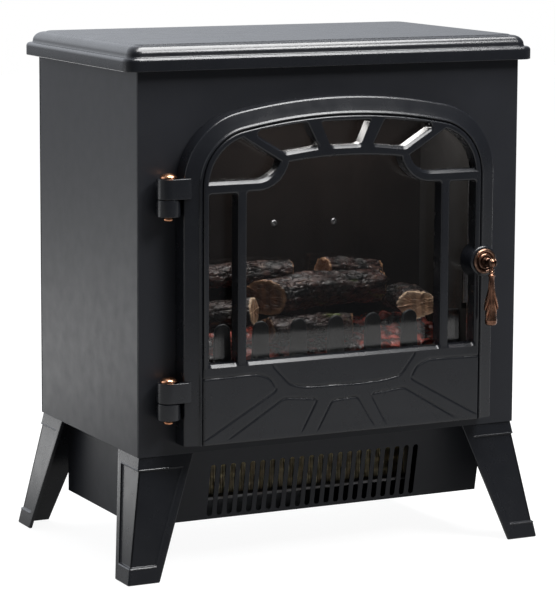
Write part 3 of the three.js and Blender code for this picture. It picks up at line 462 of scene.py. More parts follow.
def dress(node: str, finish: "Finish", edge: float = 0.25, steps: int = 2) -> None:
    """Gives a CAD node its finish, and softens its edges with live modifiers.

    Args:
        node: Name of the CAD node.
        finish: What it is made of.
        edge: Radius of its edges in millimetres, or 0 for none.
        steps: Bands in each rounded edge.
    """
    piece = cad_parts[node]
    if not piece.material_slots:
        piece.data.materials.append(None)
    for holder in piece.material_slots:
        holder.material = finish.material()
    weld = piece.modifiers.new("weld", "WELD")
    weld.merge_threshold = SEAM
    if edge:
        bevel = piece.modifiers.new("edge", "BEVEL")
        bevel.width, bevel.segments = edge * MM, steps
        bevel.limit_method, bevel.angle_limit = "ANGLE", SHARP
        bevel.harden_normals = True
    log.info("%s: dressed", node)


# ------------------------------------------------------------------------------------------------
# Finishes
# ------------------------------------------------------------------------------------------------
class Bench:
    """The node tree of a material or a world, with short ways to add and join nodes."""

    def __init__(self, owner: bpy.types.Material | bpy.types.World) -> None:
        """Empties the owner's node tree.

        Args:
            owner: The material or world whose nodes are to be built.
        """
        self.owner = owner
        self.owner.use_nodes = True
        self.tree = owner.node_tree
        self.tree.nodes.clear()

    def add(self, kind: str, inputs: dict | None = None, **settings: object) -> bpy.types.Node:
        """Adds a node.

        Args:
            kind: The node's type without its ShaderNode prefix.
            inputs: Sockets by name or number, each given a value or joined to another socket.
            **settings: The node's own properties.

        Returns:
            The node.
        """
        node = self.tree.nodes.new("ShaderNode" + kind)
        for key, value in settings.items():
            setattr(node, key, value)
        for key, value in (inputs or {}).items():
            if isinstance(value, bpy.types.NodeSocket):
                self.tree.links.new(value, node.inputs[key])
            else:
                node.inputs[key].default_value = value
        return node

    def point(self, scale: Triple = (1, 1, 1)) -> bpy.types.NodeSocket:
        """Object coordinates stretched by a scale."""
        place = self.add("TexCoord").outputs["Object"]
        return self.add("Mapping", {"Vector": place, "Scale": scale}).outputs[0]

    def noise(
        self, scale: float, detail: float = 3.0, stretch: Triple = (1, 1, 1), rough: float = 0.55
    ) -> bpy.types.NodeSocket:
        """Noise of so many grains to the metre."""
        values = {"Vector": self.point(stretch), "Scale": scale, "Detail": detail, "Roughness": rough}
        return self.add("TexNoise", values).outputs[0]

    def cells(self, scale: float, feature: str, stretch: Triple = (1, 1, 1)) -> bpy.types.NodeSocket:
        """Distance to a cell's middle or edge."""
        values = {"Vector": self.point(stretch), "Scale": scale}
        return self.add("TexVoronoi", values, feature=feature).outputs["Distance"]

    def mark(self, name: str) -> bpy.types.NodeSocket:
        """A value stored on the piece's points."""
        return self.add("Attribute", attribute_name=name).outputs["Fac"]

    def span(
        self, value: object, low: float, high: float, to_low: float, to_high: float
    ) -> bpy.types.NodeSocket:
        """A value carried from one range to another, and held at its ends."""
        return self.add("MapRange", {0: value, 1: low, 2: high, 3: to_low, 4: to_high}).outputs[0]

    def sums(self, operation: str, a: object, b: object) -> bpy.types.NodeSocket:
        """Two values added, multiplied or compared."""
        return self.add("Math", {0: a, 1: b}, operation=operation).outputs[0]

    def ramp(self, value: object, *stops: tuple[float, Triple]) -> bpy.types.NodeSocket:
        """A colour for each value, blended between stops.

        Args:
            value: The value, from 0 to 1.
            *stops: Each a place on the ramp and the colour there.

        Returns:
            The colour.
        """
        node = self.add("ValToRGB", {0: value})
        while len(node.color_ramp.elements) < len(stops):
            node.color_ramp.elements.new(0.5)
        for element, (place, colour) in zip(node.color_ramp.elements, stops):
            element.position, element.color = place, (*colour, 1)
        return node.outputs[0]

    def blend(self, share: object, a: object, b: object) -> bpy.types.NodeSocket:
        """Two colours mixed by a share.

        Args:
            share: How much of the second colour shows.
            a: First colour.
            b: Second colour.

        Returns:
            The colour.
        """
        node = self.add("Mix", {0: share}, data_type="RGBA")
        for socket, colour in ((node.inputs[6], a), (node.inputs[7], b)):
            if isinstance(colour, bpy.types.NodeSocket):
                self.tree.links.new(colour, socket)
            else:
                socket.default_value = (*colour, 1)
        return node.outputs[2]

    def bump(self, height: object, depth: float) -> bpy.types.NodeSocket:
        """A surface normal for a height field this many millimetres deep."""
        return self.add("Bump", {"Height": height, "Distance": depth * MM}).outputs[0]

    def skin(self, **values: object) -> bpy.types.Material:
        """Ends the tree in a Principled surface; underscores in names stand for spaces.

        Args:
            **values: The surface's inputs.

        Returns:
            The finished material.
        """
        inputs = {key.replace("_", " "): value for key, value in values.items()}
        shader = self.add("BsdfPrincipled", inputs)
        self.add("OutputMaterial", {"Surface": shader.outputs[0]})
        return self.owner


class Finish:
    """What a piece is made of. Its material is made once and shared."""

    made: dict[str, bpy.types.Material] = {}
    name: str

    def material(self) -> bpy.types.Material:
        """The finish's material, made at its first use.

        Returns:
            The shared material.
        """
        if self.name not in Finish.made:
            Finish.made[self.name] = self.weave(Bench(bpy.data.materials.new(self.name)))
        return Finish.made[self.name]

    def weave(self, bench: Bench) -> bpy.types.Material:
        """Builds the material's nodes.

        Args:
            bench: Where the nodes are built.

        Returns:
            The finished material.
        """
        raise NotImplementedError


@dataclass(frozen=True)
class Satin(Finish):
    """Paint or moulded plastic: an orange-peel skin whose gloss and tone wander a little.

    Attributes:
        name: Material name.
        colour: Mean colour.
        roughness: Mean roughness.
        spread: How far the roughness wanders each way.
        grain: Grains of the skin to the metre.
        depth: Height of the grain in millimetres.
        tone: Share by which the colour wanders.
        specular: Strength of the mirror part, 0.5 for common paint.
    """

    name: str
    colour: Triple
    roughness: float
    spread: float = 0.05
    grain: float = 900.0
    depth: float = 0.03
    tone: float = 0.08
    specular: float = 0.5

    def weave(self, bench: Bench) -> bpy.types.Material:
        """Cloudy tone, wandering gloss and a fine skin.

        Args:
            bench: Where the nodes are built.

        Returns:
            The finished material.
        """
        dark = tuple(c * (1 - self.tone) for c in self.colour)
        pale = tuple(c * (1 + self.tone) for c in self.colour)
        cloud, skin = bench.noise(16, 4), bench.noise(self.grain, 2)
        polished, dull = self.roughness - self.spread, self.roughness + self.spread
        gloss = bench.span(bench.noise(60, 3), *NOISE_RANGE, polished, dull)
        return bench.skin(
            Base_Color=bench.ramp(cloud, (0.32, dark), (0.68, pale)),
            Roughness=gloss,
            Specular_IOR_Level=self.specular,
            Normal=bench.bump(skin, self.depth),
        )


@dataclass(frozen=True)
class Metal(Finish):
    """Bare or plated metal with drawn lines and a patina in its hollows.

    Attributes:
        name: Material name.
        colour: Bright colour.
        patina: Colour of the dull places.
        roughness: Mean roughness.
        lines: Stretch of the drawn lines along X, Y and Z.
        share: How much patina shows, from 0 to 1.
    """

    name: str
    colour: Triple
    patina: Triple
    roughness: float
    lines: Triple = (1, 1, 1)
    share: float = 0.5

    def weave(self, bench: Bench) -> bpy.types.Material:
        """Patina by slow noise, drawn lines in gloss and height.

        Args:
            bench: Where the nodes are built.

        Returns:
            The finished material.
        """
        cloud, drawn = bench.noise(90, 4), bench.noise(700, 2, self.lines)
        low = 0.75 - 0.5 * self.share
        return bench.skin(
            Base_Color=bench.ramp(cloud, (low - 0.15, self.colour), (low + 0.2, self.patina)),
            Metallic=1.0,
            Roughness=bench.span(drawn, *NOISE_RANGE, self.roughness - 0.06, self.roughness + 0.08),
            Normal=bench.bump(drawn, 0.015),
        )


@dataclass(frozen=True)
class Pane(Finish):
    """Flat glass or clear plastic that shows what is behind it, and mirrors by its slant.

    Attributes:
        name: Material name.
        tint: Colour that passes.
        gloss: Roughness of the mirror.
    """

    name: str
    tint: Triple
    gloss: float = 0.02

    def weave(self, bench: Bench) -> bpy.types.Material:
        """Clear and mirror shaders mixed by Fresnel, with a faint ripple.

        Args:
            bench: Where the nodes are built.

        Returns:
            The finished material.
        """
        ripple = bench.bump(bench.noise(14, 1), 0.01)
        clear = bench.add("BsdfTransparent", {"Color": (*self.tint, 1)})
        gloss = bench.span(bench.noise(40, 2), *NOISE_RANGE, self.gloss, self.gloss + 0.03)
        shine = {"Color": (1, 1, 1, 1), "Roughness": gloss, "Normal": ripple}
        mirror = bench.add("BsdfAnisotropic", shine)
        slant = bench.add("Fresnel", {"IOR": 1.5})
        mixed = bench.add("MixShader", {0: slant.outputs[0], 1: clear.outputs[0], 2: mirror.outputs[0]})
        bench.add("OutputMaterial", {"Surface": mixed.outputs[0]})
        return bench.owner


@dataclass(frozen=True)
class Bark(Finish):
    """Cast resin log: charred ridges, ash on crests, painted ember glow below, painted glints, sawn ends.

    Attributes:
        name: Material name.
        core: Colour of the sawn ends.
        rim: Colour of the sawn ends near the bark.
        grey: Brightness of the ash.
    """

    name: str
    core: Triple
    rim: Triple
    grey: float = 0.12

    def weave(self, bench: Bench) -> bpy.types.Material:
        """Bark by stretched noise and cracks, ends by rings, joined by the piece's marks.

        Args:
            bench: Where the nodes are built.

        Returns:
            The finished material.
        """
        grain = bench.noise(150, 6, (0.5, 1, 1), 0.68)
        crack = bench.cells(120, "DISTANCE_TO_EDGE", (0.55, 1, 1))
        open_crack = bench.span(crack, 0.0, 0.05, 0.25, 1.0)
        ash = (self.grey, self.grey * 0.99, self.grey * 0.98)
        soot, coal = (0.005, 0.005, 0.005), (0.030, 0.029, 0.029)
        char = bench.ramp(grain, (0.36, soot), (0.52, coal), (0.64, ash))
        # Painted ember glow: a red-brown ramp stands in for firelight on the logs' lower sides, and on random
        # patches.
        umber, rust, amber = (0.018, 0.007, 0.005), (0.075, 0.024, 0.016), (0.24, 0.11, 0.05)
        glow_colour = bench.ramp(grain, (0.36, umber), (0.56, rust), (0.7, amber))
        patch = bench.span(bench.noise(38, 3), 0.40, 0.55, 0.0, 1.0)
        under = bench.sums("MAXIMUM", bench.mark("under"), bench.sums("MULTIPLY", patch, 0.55))
        # Painted glints: sparse yellow-green patches of colour stand in for small glints on the bark.
        painted_glint = bench.span(bench.noise(55, 4, (0.4, 1, 1)), 0.66, 0.72, 0.0, 0.6)
        bark = bench.blend(painted_glint, bench.blend(under, char, glow_colour), (0.16, 0.22, 0.05))
        bark = bench.blend(open_crack, (0.003, 0.003, 0.003), bark)
        place = bench.point((1, 0.15, 0.35))
        waves = {"Scale": 34.0, "Distortion": 9.0, "Detail": 3.0, "Vector": place}
        rings = bench.add("TexWave", waves).outputs[1]
        dark_ring = tuple(c * 0.3 for c in self.core)
        shade = bench.blend(bench.span(rings, 0.2, 0.8, 0.0, 0.55), self.core, dark_ring)
        end = bench.blend(bench.span(bench.mark("ring"), 0.78, 0.98, 0.0, 1.0), shade, self.rim)
        relief = bench.sums("MULTIPLY", grain, open_crack)
        return bench.skin(
            Base_Color=bench.blend(bench.mark("cut"), bark, end),
            Roughness=bench.span(grain, 0.35, 0.7, 0.16, 0.46),
            Normal=bench.bump(relief, 1.5),
        )


@dataclass(frozen=True)
class Ember(Finish):
    """Clear red resin poured over dark lumps: red in the hollows, black on the crests.

    Attributes:
        name: Material name.
        glow: Colour of the resin.
    """

    name: str
    glow: Triple

    def weave(self, bench: Bench) -> bpy.types.Material:
        """Dark coals against glossy red, by cell noise.

        Args:
            bench: Where the nodes are built.

        Returns:
            The finished material.
        """
        cell, fine = bench.cells(70, "F1"), bench.noise(240, 4)
        crest = bench.sums("ADD", cell, bench.sums("MULTIPLY", fine, 0.5))
        share = bench.span(crest, 0.5, 1.0, 0.0, 1.0)
        deep = tuple(c * 0.3 for c in self.glow)
        pale = tuple(min(1.0, c * 1.3 + 0.07) for c in self.glow)
        coal = (0.02, 0.010, 0.009)
        return bench.skin(
            Base_Color=bench.ramp(share, (0.05, pale), (0.3, self.glow), (0.65, deep), (0.95, coal)),
            Roughness=bench.span(fine, *NOISE_RANGE, 0.14, 0.4),
            Normal=bench.bump(fine, 0.8),
        )


@dataclass(frozen=True)
class Stage(Finish):
    """The floor, dark in itself. It gives the camera an even white, and all else a glow that varies with Y.

    Attributes:
        name: Material name.
        colour: Colour of the floor.
        lift: Light that it gives to the camera.
        glow: Pairs of Y in metres and the light given there to everything but the camera.
    """

    name: str
    colour: Triple
    lift: float
    glow: tuple[Pair, ...]

    def weave(self, bench: Bench) -> bpy.types.Material:
        """A matt surface with a faint texture, and its two lights.

        Args:
            bench: Where the nodes are built.

        Returns:
            The finished material.
        """
        first, last = self.glow[0][0], self.glow[-1][0]
        most = max(value for _, value in self.glow)
        behind = bench.add("SeparateXYZ", {0: bench.point()}).outputs["Y"]
        stops = [((place - first) / (last - first), (value / most,) * 3) for place, value in self.glow]
        share = bench.ramp(bench.span(behind, first, last, 0.0, 1.0), *stops)
        around = bench.sums("MULTIPLY", share, most)
        seen = bench.add("LightPath").outputs["Is Camera Ray"]
        return bench.skin(
            Base_Color=(*self.colour, 1),
            Roughness=bench.span(bench.noise(8, 2), *NOISE_RANGE, 0.85, 0.95),
            Normal=bench.bump(bench.noise(300, 2), 0.02),
            Emission_Color=(1, 1, 1, 1),
            Emission_Strength=bench.span(seen, 0.0, 1.0, around, self.lift),
        )


STEEL_BLACK = Satin("powder_black_steel", (0.0145, 0.0155, 0.0190), 0.43, 0.03, 1100, 0.03, 0.07, 0.26)
MOULD_BLACK = Satin("satin_black_moulding", (0.0080, 0.0088, 0.0112), 0.26, 0.025, 1500, 0.006, 0.07)
INNER_BLACK = Satin("matt_inner_black", (0.012, 0.0105, 0.0095), 0.62, 0.06, 700, 0.06)
GRATE_GREY = Satin("cast_grate_grey", (0.022, 0.025, 0.028), 0.42, 0.06, 500, 0.05, 0.15)
SWITCH_BLACK = Satin("switch_black", (0.013, 0.013, 0.014), 0.42, 0.03, 1300, 0.02)
RUBBER = Satin("black_rubber", (0.014, 0.014, 0.014), 0.78, 0.05, 1500, 0.03)
WHITE_MOULD = Satin("white_moulding", (0.68, 0.66, 0.60), 0.5, 0.05, 600, 0.03, 0.05)
MARK_WHITE = Satin("dial_mark_white", (0.75, 0.75, 0.73), 0.55, 0.05, 900, 0.02, 0.04)
MOTOR_STEEL = Metal("laminated_motor_steel", (0.32, 0.32, 0.33), (0.16, 0.14, 0.13), 0.42, (0.05, 1, 1))
BRIGHT_STEEL = Metal("bright_zinc_steel", (0.74, 0.75, 0.78), (0.5, 0.5, 0.52), 0.3, (0.06, 1, 1), 0.4)
FIN_METAL = Metal("pale_fin_metal", (0.72, 0.64, 0.44), (0.28, 0.24, 0.16), 0.3, (1, 1, 0.08), 0.4)
COPPER = Metal("aged_copper", (0.46, 0.24, 0.155), (0.09, 0.045, 0.032), 0.25, (1, 1, 0.3), 0.5)
BRONZE = Metal("dark_bronze", (0.30, 0.175, 0.12), (0.05, 0.030, 0.024), 0.28, (1, 1, 0.3), 0.55)
PIN_COPPER = Metal("bright_copper", (0.85, 0.42, 0.24), (0.5, 0.2, 0.1), 0.22, (1, 1, 0.3), 0.3)
SCREW_STEEL = Metal("dull_screw_steel", (0.3, 0.3, 0.31), (0.14, 0.14, 0.15), 0.4, (1, 1, 1), 0.4)
ACRYLIC = Satin("smoked_acrylic", (0.011, 0.0085, 0.0075), 0.13, 0.03, 120, 0.001, 0.25)
DOOR_GLASS = Pane("door_glass", (0.86, 0.85, 0.84))
LAMP_GLASS = Pane("lamp_glass", (0.8, 0.78, 0.72), 0.1)
DARK_LOG = Bark("charred_bark_brown_core", (0.17, 0.078, 0.042), (0.36, 0.20, 0.11), 0.10)
PALE_LOG = Bark("charred_bark_pale_core", (0.68, 0.42, 0.26), (0.80, 0.58, 0.40), 0.08)
EMBERS = Ember("red_ember_resin", (0.42, 0.07, 0.045))
FLOOR_GLOW = ((-1.0, 0.38), (0.1, 0.24), (0.5, 0.45), (1.1, 3.2), (1.8, 0.8), (3.0, 0.12), (6.0, 0.12))
PALE_FLOOR = Stage("pale_floor", (0.12, 0.12, 0.12), 0.93, FLOOR_GLOW)


# ------------------------------------------------------------------------------------------------
# Studio
# ------------------------------------------------------------------------------------------------
@dataclass
class Studio:
    """Camera, floor, two soft lamps outside, one inside the firebox, and a white surround.

    Attributes:
        place: Camera position in metres.
        ahead: Direction that it looks in.
        aside: Direction to its right.
        lens: Focal length for a 36 mm long side.
        rise: Vertical shift of the picture.
        floor: Floor's lowest and highest X and Y in metres.
        bright_side: Direction of the brightest part of the surround.
        backdrop: Strength of the surround there.
        front_fill: Strength of the surround opposite.
        falloff: How sharply the bright side fades.
        tint: Colour of the surround's light.
    """

    place: Triple = (-1.31471, -2.60766, 0.72538)
    ahead: Triple = (0.44415, 0.88463, -0.14201)
    aside: Triple = (0.89397, -0.44810, 0.00463)
    lens: float = 165.86
    rise: float = -0.08
    floor: tuple[float, float, float, float] = (-4.0, -1.38, 4.0, 6.0)
    bright_side: Triple = (-0.45, 0.89, 0.0)
    backdrop: float = 1.8
    front_fill: float = 0.066
    falloff: float = 1.8
    tint: Triple = (0.93, 0.97, 1.04)

    def camera(self) -> None:
        """Sets the camera from its three directions."""
        data = bpy.data.cameras.new("camera")
        data.sensor_width, data.lens, data.shift_y = 36.0, self.lens, self.rise
        data.clip_start, data.clip_end = 0.05, 60
        camera = bpy.data.objects.new("camera", data)
        right, forward = Vector(self.aside).normalized(), Vector(self.ahead).normalized()
        up = right.cross(forward).normalized()
        facing = Matrix((right, up, -forward)).transposed().to_4x4()
        camera.matrix_world = Matrix.Translation(self.place) @ facing
        bpy.context.scene.collection.objects.link(camera)
        bpy.context.scene.camera = camera

    def ground(self) -> None:
        """Lays the floor as a fine flat grid."""
        x0, y0, x1, y1 = self.floor
        steps, drop = 9, 0.0005
        x, y = np.meshgrid(np.linspace(x0, x1, steps), np.linspace(y0, y1, steps))
        points = np.stack([x, y, np.full_like(x, -drop)], -1).reshape(-1, 3)
        mesh = bpy.data.meshes.new("floor")
        mesh.from_pydata(points.tolist(), [], grid_faces(steps, steps).tolist())
        mesh.materials.append(PALE_FLOOR.material())
        ground = bpy.data.objects.new("floor", mesh)
        bpy.context.scene.collection.objects.link(ground)

    def lamp(
        self, name: str, place: Triple, aim: Triple, size: Pair, watts: float, seen: bool = True
    ) -> None:
        """A soft rectangular light.

        Args:
            name: Name of the light.
            place: Where it is, in metres.
            aim: Where it points.
            size: Its width and height in metres.
            watts: Its power.
            seen: The camera sees its face.
        """
        data = bpy.data.lights.new(name, "AREA")
        data.shape, data.size, data.size_y, data.energy = "RECTANGLE", size[0], size[1], watts
        lamp = bpy.data.objects.new(name, data)
        lamp.location, lamp.visible_camera = place, seen
        lamp.rotation_euler = (Vector(aim) - Vector(place)).to_track_quat("-Z", "Y").to_euler()
        bpy.context.scene.collection.objects.link(lamp)

    def surround(self) -> None:
        """White to the camera; it lights the object strongly from behind and above, weakly from in front."""
        world = bpy.data.worlds.new("surround")
        bpy.context.scene.world = world
        bench = Bench(world)
        place = bench.add("TexCoord").outputs["Generated"]
        height = bench.add("SeparateXYZ", {0: place}).outputs["Z"]
        toward = bench.add("VectorMath", {0: place, 1: self.bright_side}, operation="DOT_PRODUCT")
        glow = bench.sums("POWER", bench.span(toward.outputs["Value"], -0.1, 1.0, 0.0, 1.0), self.falloff)
        horizon, sky = (-0.05, 0.28), (0.35, 1.15)
        glow = bench.sums("MULTIPLY", glow, bench.span(height, *horizon, *sky))
        limits = {0: glow, 1: self.backdrop, 2: self.front_fill}
        strength = bench.add("Math", limits, operation="MULTIPLY_ADD").outputs[0]
        soft = bench.add("Background", {"Color": (*self.tint, 1), "Strength": strength})
        white = bench.add("Background", {"Color": (1, 1, 1, 1)})
        seen = bench.add("LightPath").outputs["Is Camera Ray"]
        mixed = bench.add("MixShader", {0: seen, 1: soft.outputs[0], 2: white.outputs[0]})
        bench.add("OutputWorld", {"Surface": mixed.outputs[0]})

    def make(self) -> None:
        """Builds the whole studio."""
        bpy.context.scene.view_settings.view_transform = "Standard"
        self.camera()
        self.ground()
        self.surround()
        self.lamp("top_softbox", place=(0.3, -0.2, 2.0), aim=(0, 0, 0.4), size=(1.7, 1.1), watts=84)
        self.lamp("front_softbox", place=(0.75, -1.2, 1.7), aim=(0, -0.1, 0.3), size=(0.6, 0.5), watts=27)
        inside, logs = (0.02, -0.066, 0.470), (0.02, -0.058, 0.24)
        self.lamp("fire_fill", place=inside, aim=logs, size=(0.24, 0.05), watts=0.55, seen=False)


# ------------------------------------------------------------------------------------------------
# Lid and casing
# ------------------------------------------------------------------------------------------------
@dataclass
class Lid:
    """Moulded lid: a plinth, a rounded ledge, a groove and a quarter-round up to a flat top.

    Attributes:
        half: Half width and half depth.
        low: Height of the plinth's underside.
        high: Height of the top.
        corner: Radius of the corners seen from above.
        wall: Thickness of the plinth.
    """

    half: Pair = (234.0, 140.5)
    low: float = 514.0
    high: float = 540.0
    corner: float = 14.0
    wall: float = 3.0

    def section(self) -> Array:
        """Inset and rise of the outline, from the hollow's ceiling round the outside to the top.

        Returns:
            One row of inset and rise for each ring.
        """
        roof = [(60, 22.6), (19, 22.6), (17.5, 16.4), (10, 15.6), (3.3, 11.6)]
        hollow = [*roof, (self.wall, 11), (self.wall, 0.5)]
        foot = [(2.6, 0.0), (0.7, 0.0), (0.2, 0.2), (0.0, 0.7)]
        ledge = [(0, 9.6), (0.15, 10.9), (0.6, 12.0), (1.3, 12.8), (2.2, 13.3), (3.4, 13.55), (4.6, 13.6)]
        groove = [(5.1, 13.75), (5.35, 14.2), (5.45, 14.9), (5.7, 15.5)]
        turn = np.radians(np.linspace(8, 86, 14))
        quarter = np.stack([15.4 - 9.7 * np.cos(turn), 15.3 + 9.5 * np.sin(turn)], -1)
        top = [(16.4, 24.85), (17.2, 25.1), (18.0, 25.55), (18.8, 25.88), (19.8, 26.0), (60, 26.0)]
        return np.concatenate([hollow, foot, ledge, groove, quarter, top])

    def make(self) -> None:
        """One shell: each ring is the rounded rectangle moved in by the outline's inset."""
        section = self.section()
        turn = np.linspace(0, np.pi / 2, 15)
        angle = np.concatenate([turn + k * np.pi / 2 for k in range(4)])
        sign_x = np.repeat([1, -1, -1, 1], len(turn))
        sign_y = np.repeat([1, 1, -1, -1], len(turn))
        rings = np.empty((len(section), len(angle), 3))
        inset = section[:, :1]
        radius = np.maximum(self.corner - 0.3 * inset, 4)
        rings[..., 0] = sign_x * (self.half[0] - inset - radius) + radius * np.cos(angle)
        rings[..., 1] = sign_y * (self.half[1] - inset - radius) + radius * np.sin(angle)
        rings[..., 2] = self.low + section[:, 1:]
        build("lid", [lofted(rings)], MOULD_BLACK, "cabinet", ["top_lid"], crease=50)


def door_outline(inset: float, turns: int = 18) -> Array:
    """The door's sides and top, moved in: upright, shoulder arc, flat crown arc, shoulder arc, upright.

    Args:
        inset: How far inside the door's edge.
        turns: Points on each arc.

    Returns:
        X and Z from the right foot of the door over the top to the left foot.
    """
    half, bottom, spring, crown, radius = 178.5, 137.5, 398.5, 484.0, 75.0
    across_half, rise = half - radius, crown - spring
    crown_radius = (across_half**2 + rise**2 - radius**2) / (2 * (rise - radius))
    middle = crown - crown_radius
    turn = math.degrees(math.atan2(spring - middle, across_half))
    shoulder = arc((across_half, spring), radius - inset, 0, turn, turns)
    top = arc((0, middle), crown_radius - inset, turn, 90, turns)
    right = np.concatenate([[(half - inset, bottom)], shoulder, top[1:]])
    return np.concatenate([right, flipped(right)[1:]])


@dataclass
class Casing:
    """Folded steel panels of the cabinet.

    Attributes:
        half: Half width and half depth.
        low: Height of the underside.
        high: Height of the panels' tops, inside the lid.
        sheet: Thickness of the steel.
        gap: Air between neighbouring panels.
        vent_half: Half width of a slot in the back.
    """

    half: Pair = (219.0, 130.5)
    low: float = 125.0
    high: float = 525.0
    sheet: float = 1.2
    gap: float = 0.3
    vent_half: float = 34

    def front(self) -> None:
        """Front panel with the arched mouth behind the door."""
        x, y = self.half
        mouth = door_outline(14)
        mouth[[0, -1], 1] += 14
        panel = upright([oblong(-x, self.low, x, self.high), mouth], -y, -y + self.sheet, 0.4)
        build("casing_front", [panel], STEEL_BLACK, "cabinet", ["front_panel"])

    def side(self, name: str, sign: int) -> None:
        """A side panel: a flat sheet folded round at its front and back, with a return along the bottom.

        Args:
            name: Which side.
            sign: -1 for the left, 1 for the right.
        """
        x, y = self.half
        reach = y - self.sheet - self.gap
        lip, fold, bend, edge = -x + 12, 1.5, 0.6, 0.3
        centre = self.sheet + bend
        outer = np.concatenate([
            [(lip, -reach)], arc((-x + fold, -reach + fold), fold, 270, 180, 6),
            arc((-x + fold, reach - fold), fold, 180, 90, 6), [(lip, reach)],
        ])
        inner = np.concatenate([
            [(lip, reach - self.sheet)], arc((-x + centre, reach - centre), bend, 90, 180, 4),
            arc((-x + centre, -reach + centre), bend, 180, 270, 4), [(lip, -reach + self.sheet)],
        ])
        skin = level([np.concatenate([outer, inner])], self.low, self.high, edge)
        sill = level([oblong(-x + 1, -reach + 1, lip, reach - 1)], self.low, self.low + self.sheet, edge)
        shells = [skin, sill] if sign < 0 else [skin.mirrored(), sill.mirrored()]
        build(f"casing_{name}", shells, STEEL_BLACK, "cabinet", [f"{name}_side_panel"])

    def back(self) -> None:
        """Back panel: two banks of slots with a pressed hood over each, and the control and cord openings."""
        x, y = self.half
        outlines = [oblong(-x, self.low, x, self.high), oblong(-164, 357, -106, 483)]
        outlines.append(arc((165, 150), 8, 0, 345, 24))
        half, high, first, pitch = self.vent_half, 4.4, 330, 12.0
        hoods = []
        for row in range(9):
            for middle in (-2.0, 82.0):
                z = first + pitch * row
                outlines.append(oblong(middle - half, z, middle + half, z + high, 2))
                hoods.append(self.hood(middle, z + high))
        panel = upright(outlines, y - self.sheet, y, 0.3)
        build("casing_back", [panel, *hoods], STEEL_BLACK, "cabinet", ["back_panel"])

    def hood(self, middle: float, low: float) -> Shell:
        """A lip over a slot: height out of the sheet falls as a quarter wave upwards, and towards both ends.

        Args:
            middle: X of the slot's middle.
            low: Height of the slot's upper edge.

        Returns:
            The closed lip.
        """
        u, v = np.meshgrid(np.linspace(-1, 1, 25), np.linspace(0, 1, 7))
        swell = np.cos(v * np.pi / 2) * (1 - u**8)
        root, rise, high = 0.4, 2.6, 5.2
        y = self.half[1] - root + rise * swell
        grid = np.stack([middle + self.vent_half * u, y, low + high * v], -1)
        return slab(grid, self.half[1] - 1.0)

    def screws(self) -> None:
        """Pan-head screws with a cross recess, round the back panel."""
        x, y = self.half
        places = [(sx * (x - 10), z) for sx in (-1, 1) for z in (140, 240, 380, 505)]
        places += [(-70, 135), (70, 135), (-164, 345), (-106, 345), (-164, 495), (-106, 495)]
        shells = [screw_head((px, y - 0.2, pz), 3.4, 1) for px, pz in places]
        build("back_screws", shells, SCREW_STEEL, "cabinet", crease=40)

    def make(self) -> None:
        """Builds all panels and dresses the base."""
        self.front()
        self.side("left", -1)
        self.side("right", 1)
        self.back()
        self.screws()
        dress("base_plate", STEEL_BLACK, 0.3)


def screw_head(place: Triple, radius: float, way: int) -> Shell:
    """A domed screw head on an upright face, with a cross pressed into it.

    The head rises by 0.5 of its radius as a flat arch, and sinks where the angle is near a quarter turn.

    Args:
        place: Middle of the head's underside.
        radius: Radius of the head.
        way: 1 if it faces the back, -1 if it faces the front.

    Returns:
        The closed head.
    """
    shares = np.array([0, 0.12, 0.22, 0.42, 0.55, 0.62, 0.8, 0.94, 1.0, 1.0])
    angle = np.linspace(0, 2 * np.pi, 32, endpoint=False)
    r, a = np.meshgrid(shares, angle, indexing="ij")
    crown, recess, arm_half, arm_reach = 0.5, 0.3, 0.13, 0.58
    rise = crown * radius * np.sqrt(np.clip(1 - r**2 * 0.9, 0, 1))
    arm = np.minimum(np.abs(np.sin(a)), np.abs(np.cos(a))) * r
    rise -= recess * radius * (arm < arm_half) * (r < arm_reach)
    rise[-1] = 0
    points = np.stack([r * radius * np.cos(a), way * rise, r * radius * np.sin(a)], -1)
    return lofted(points + np.asarray(place))


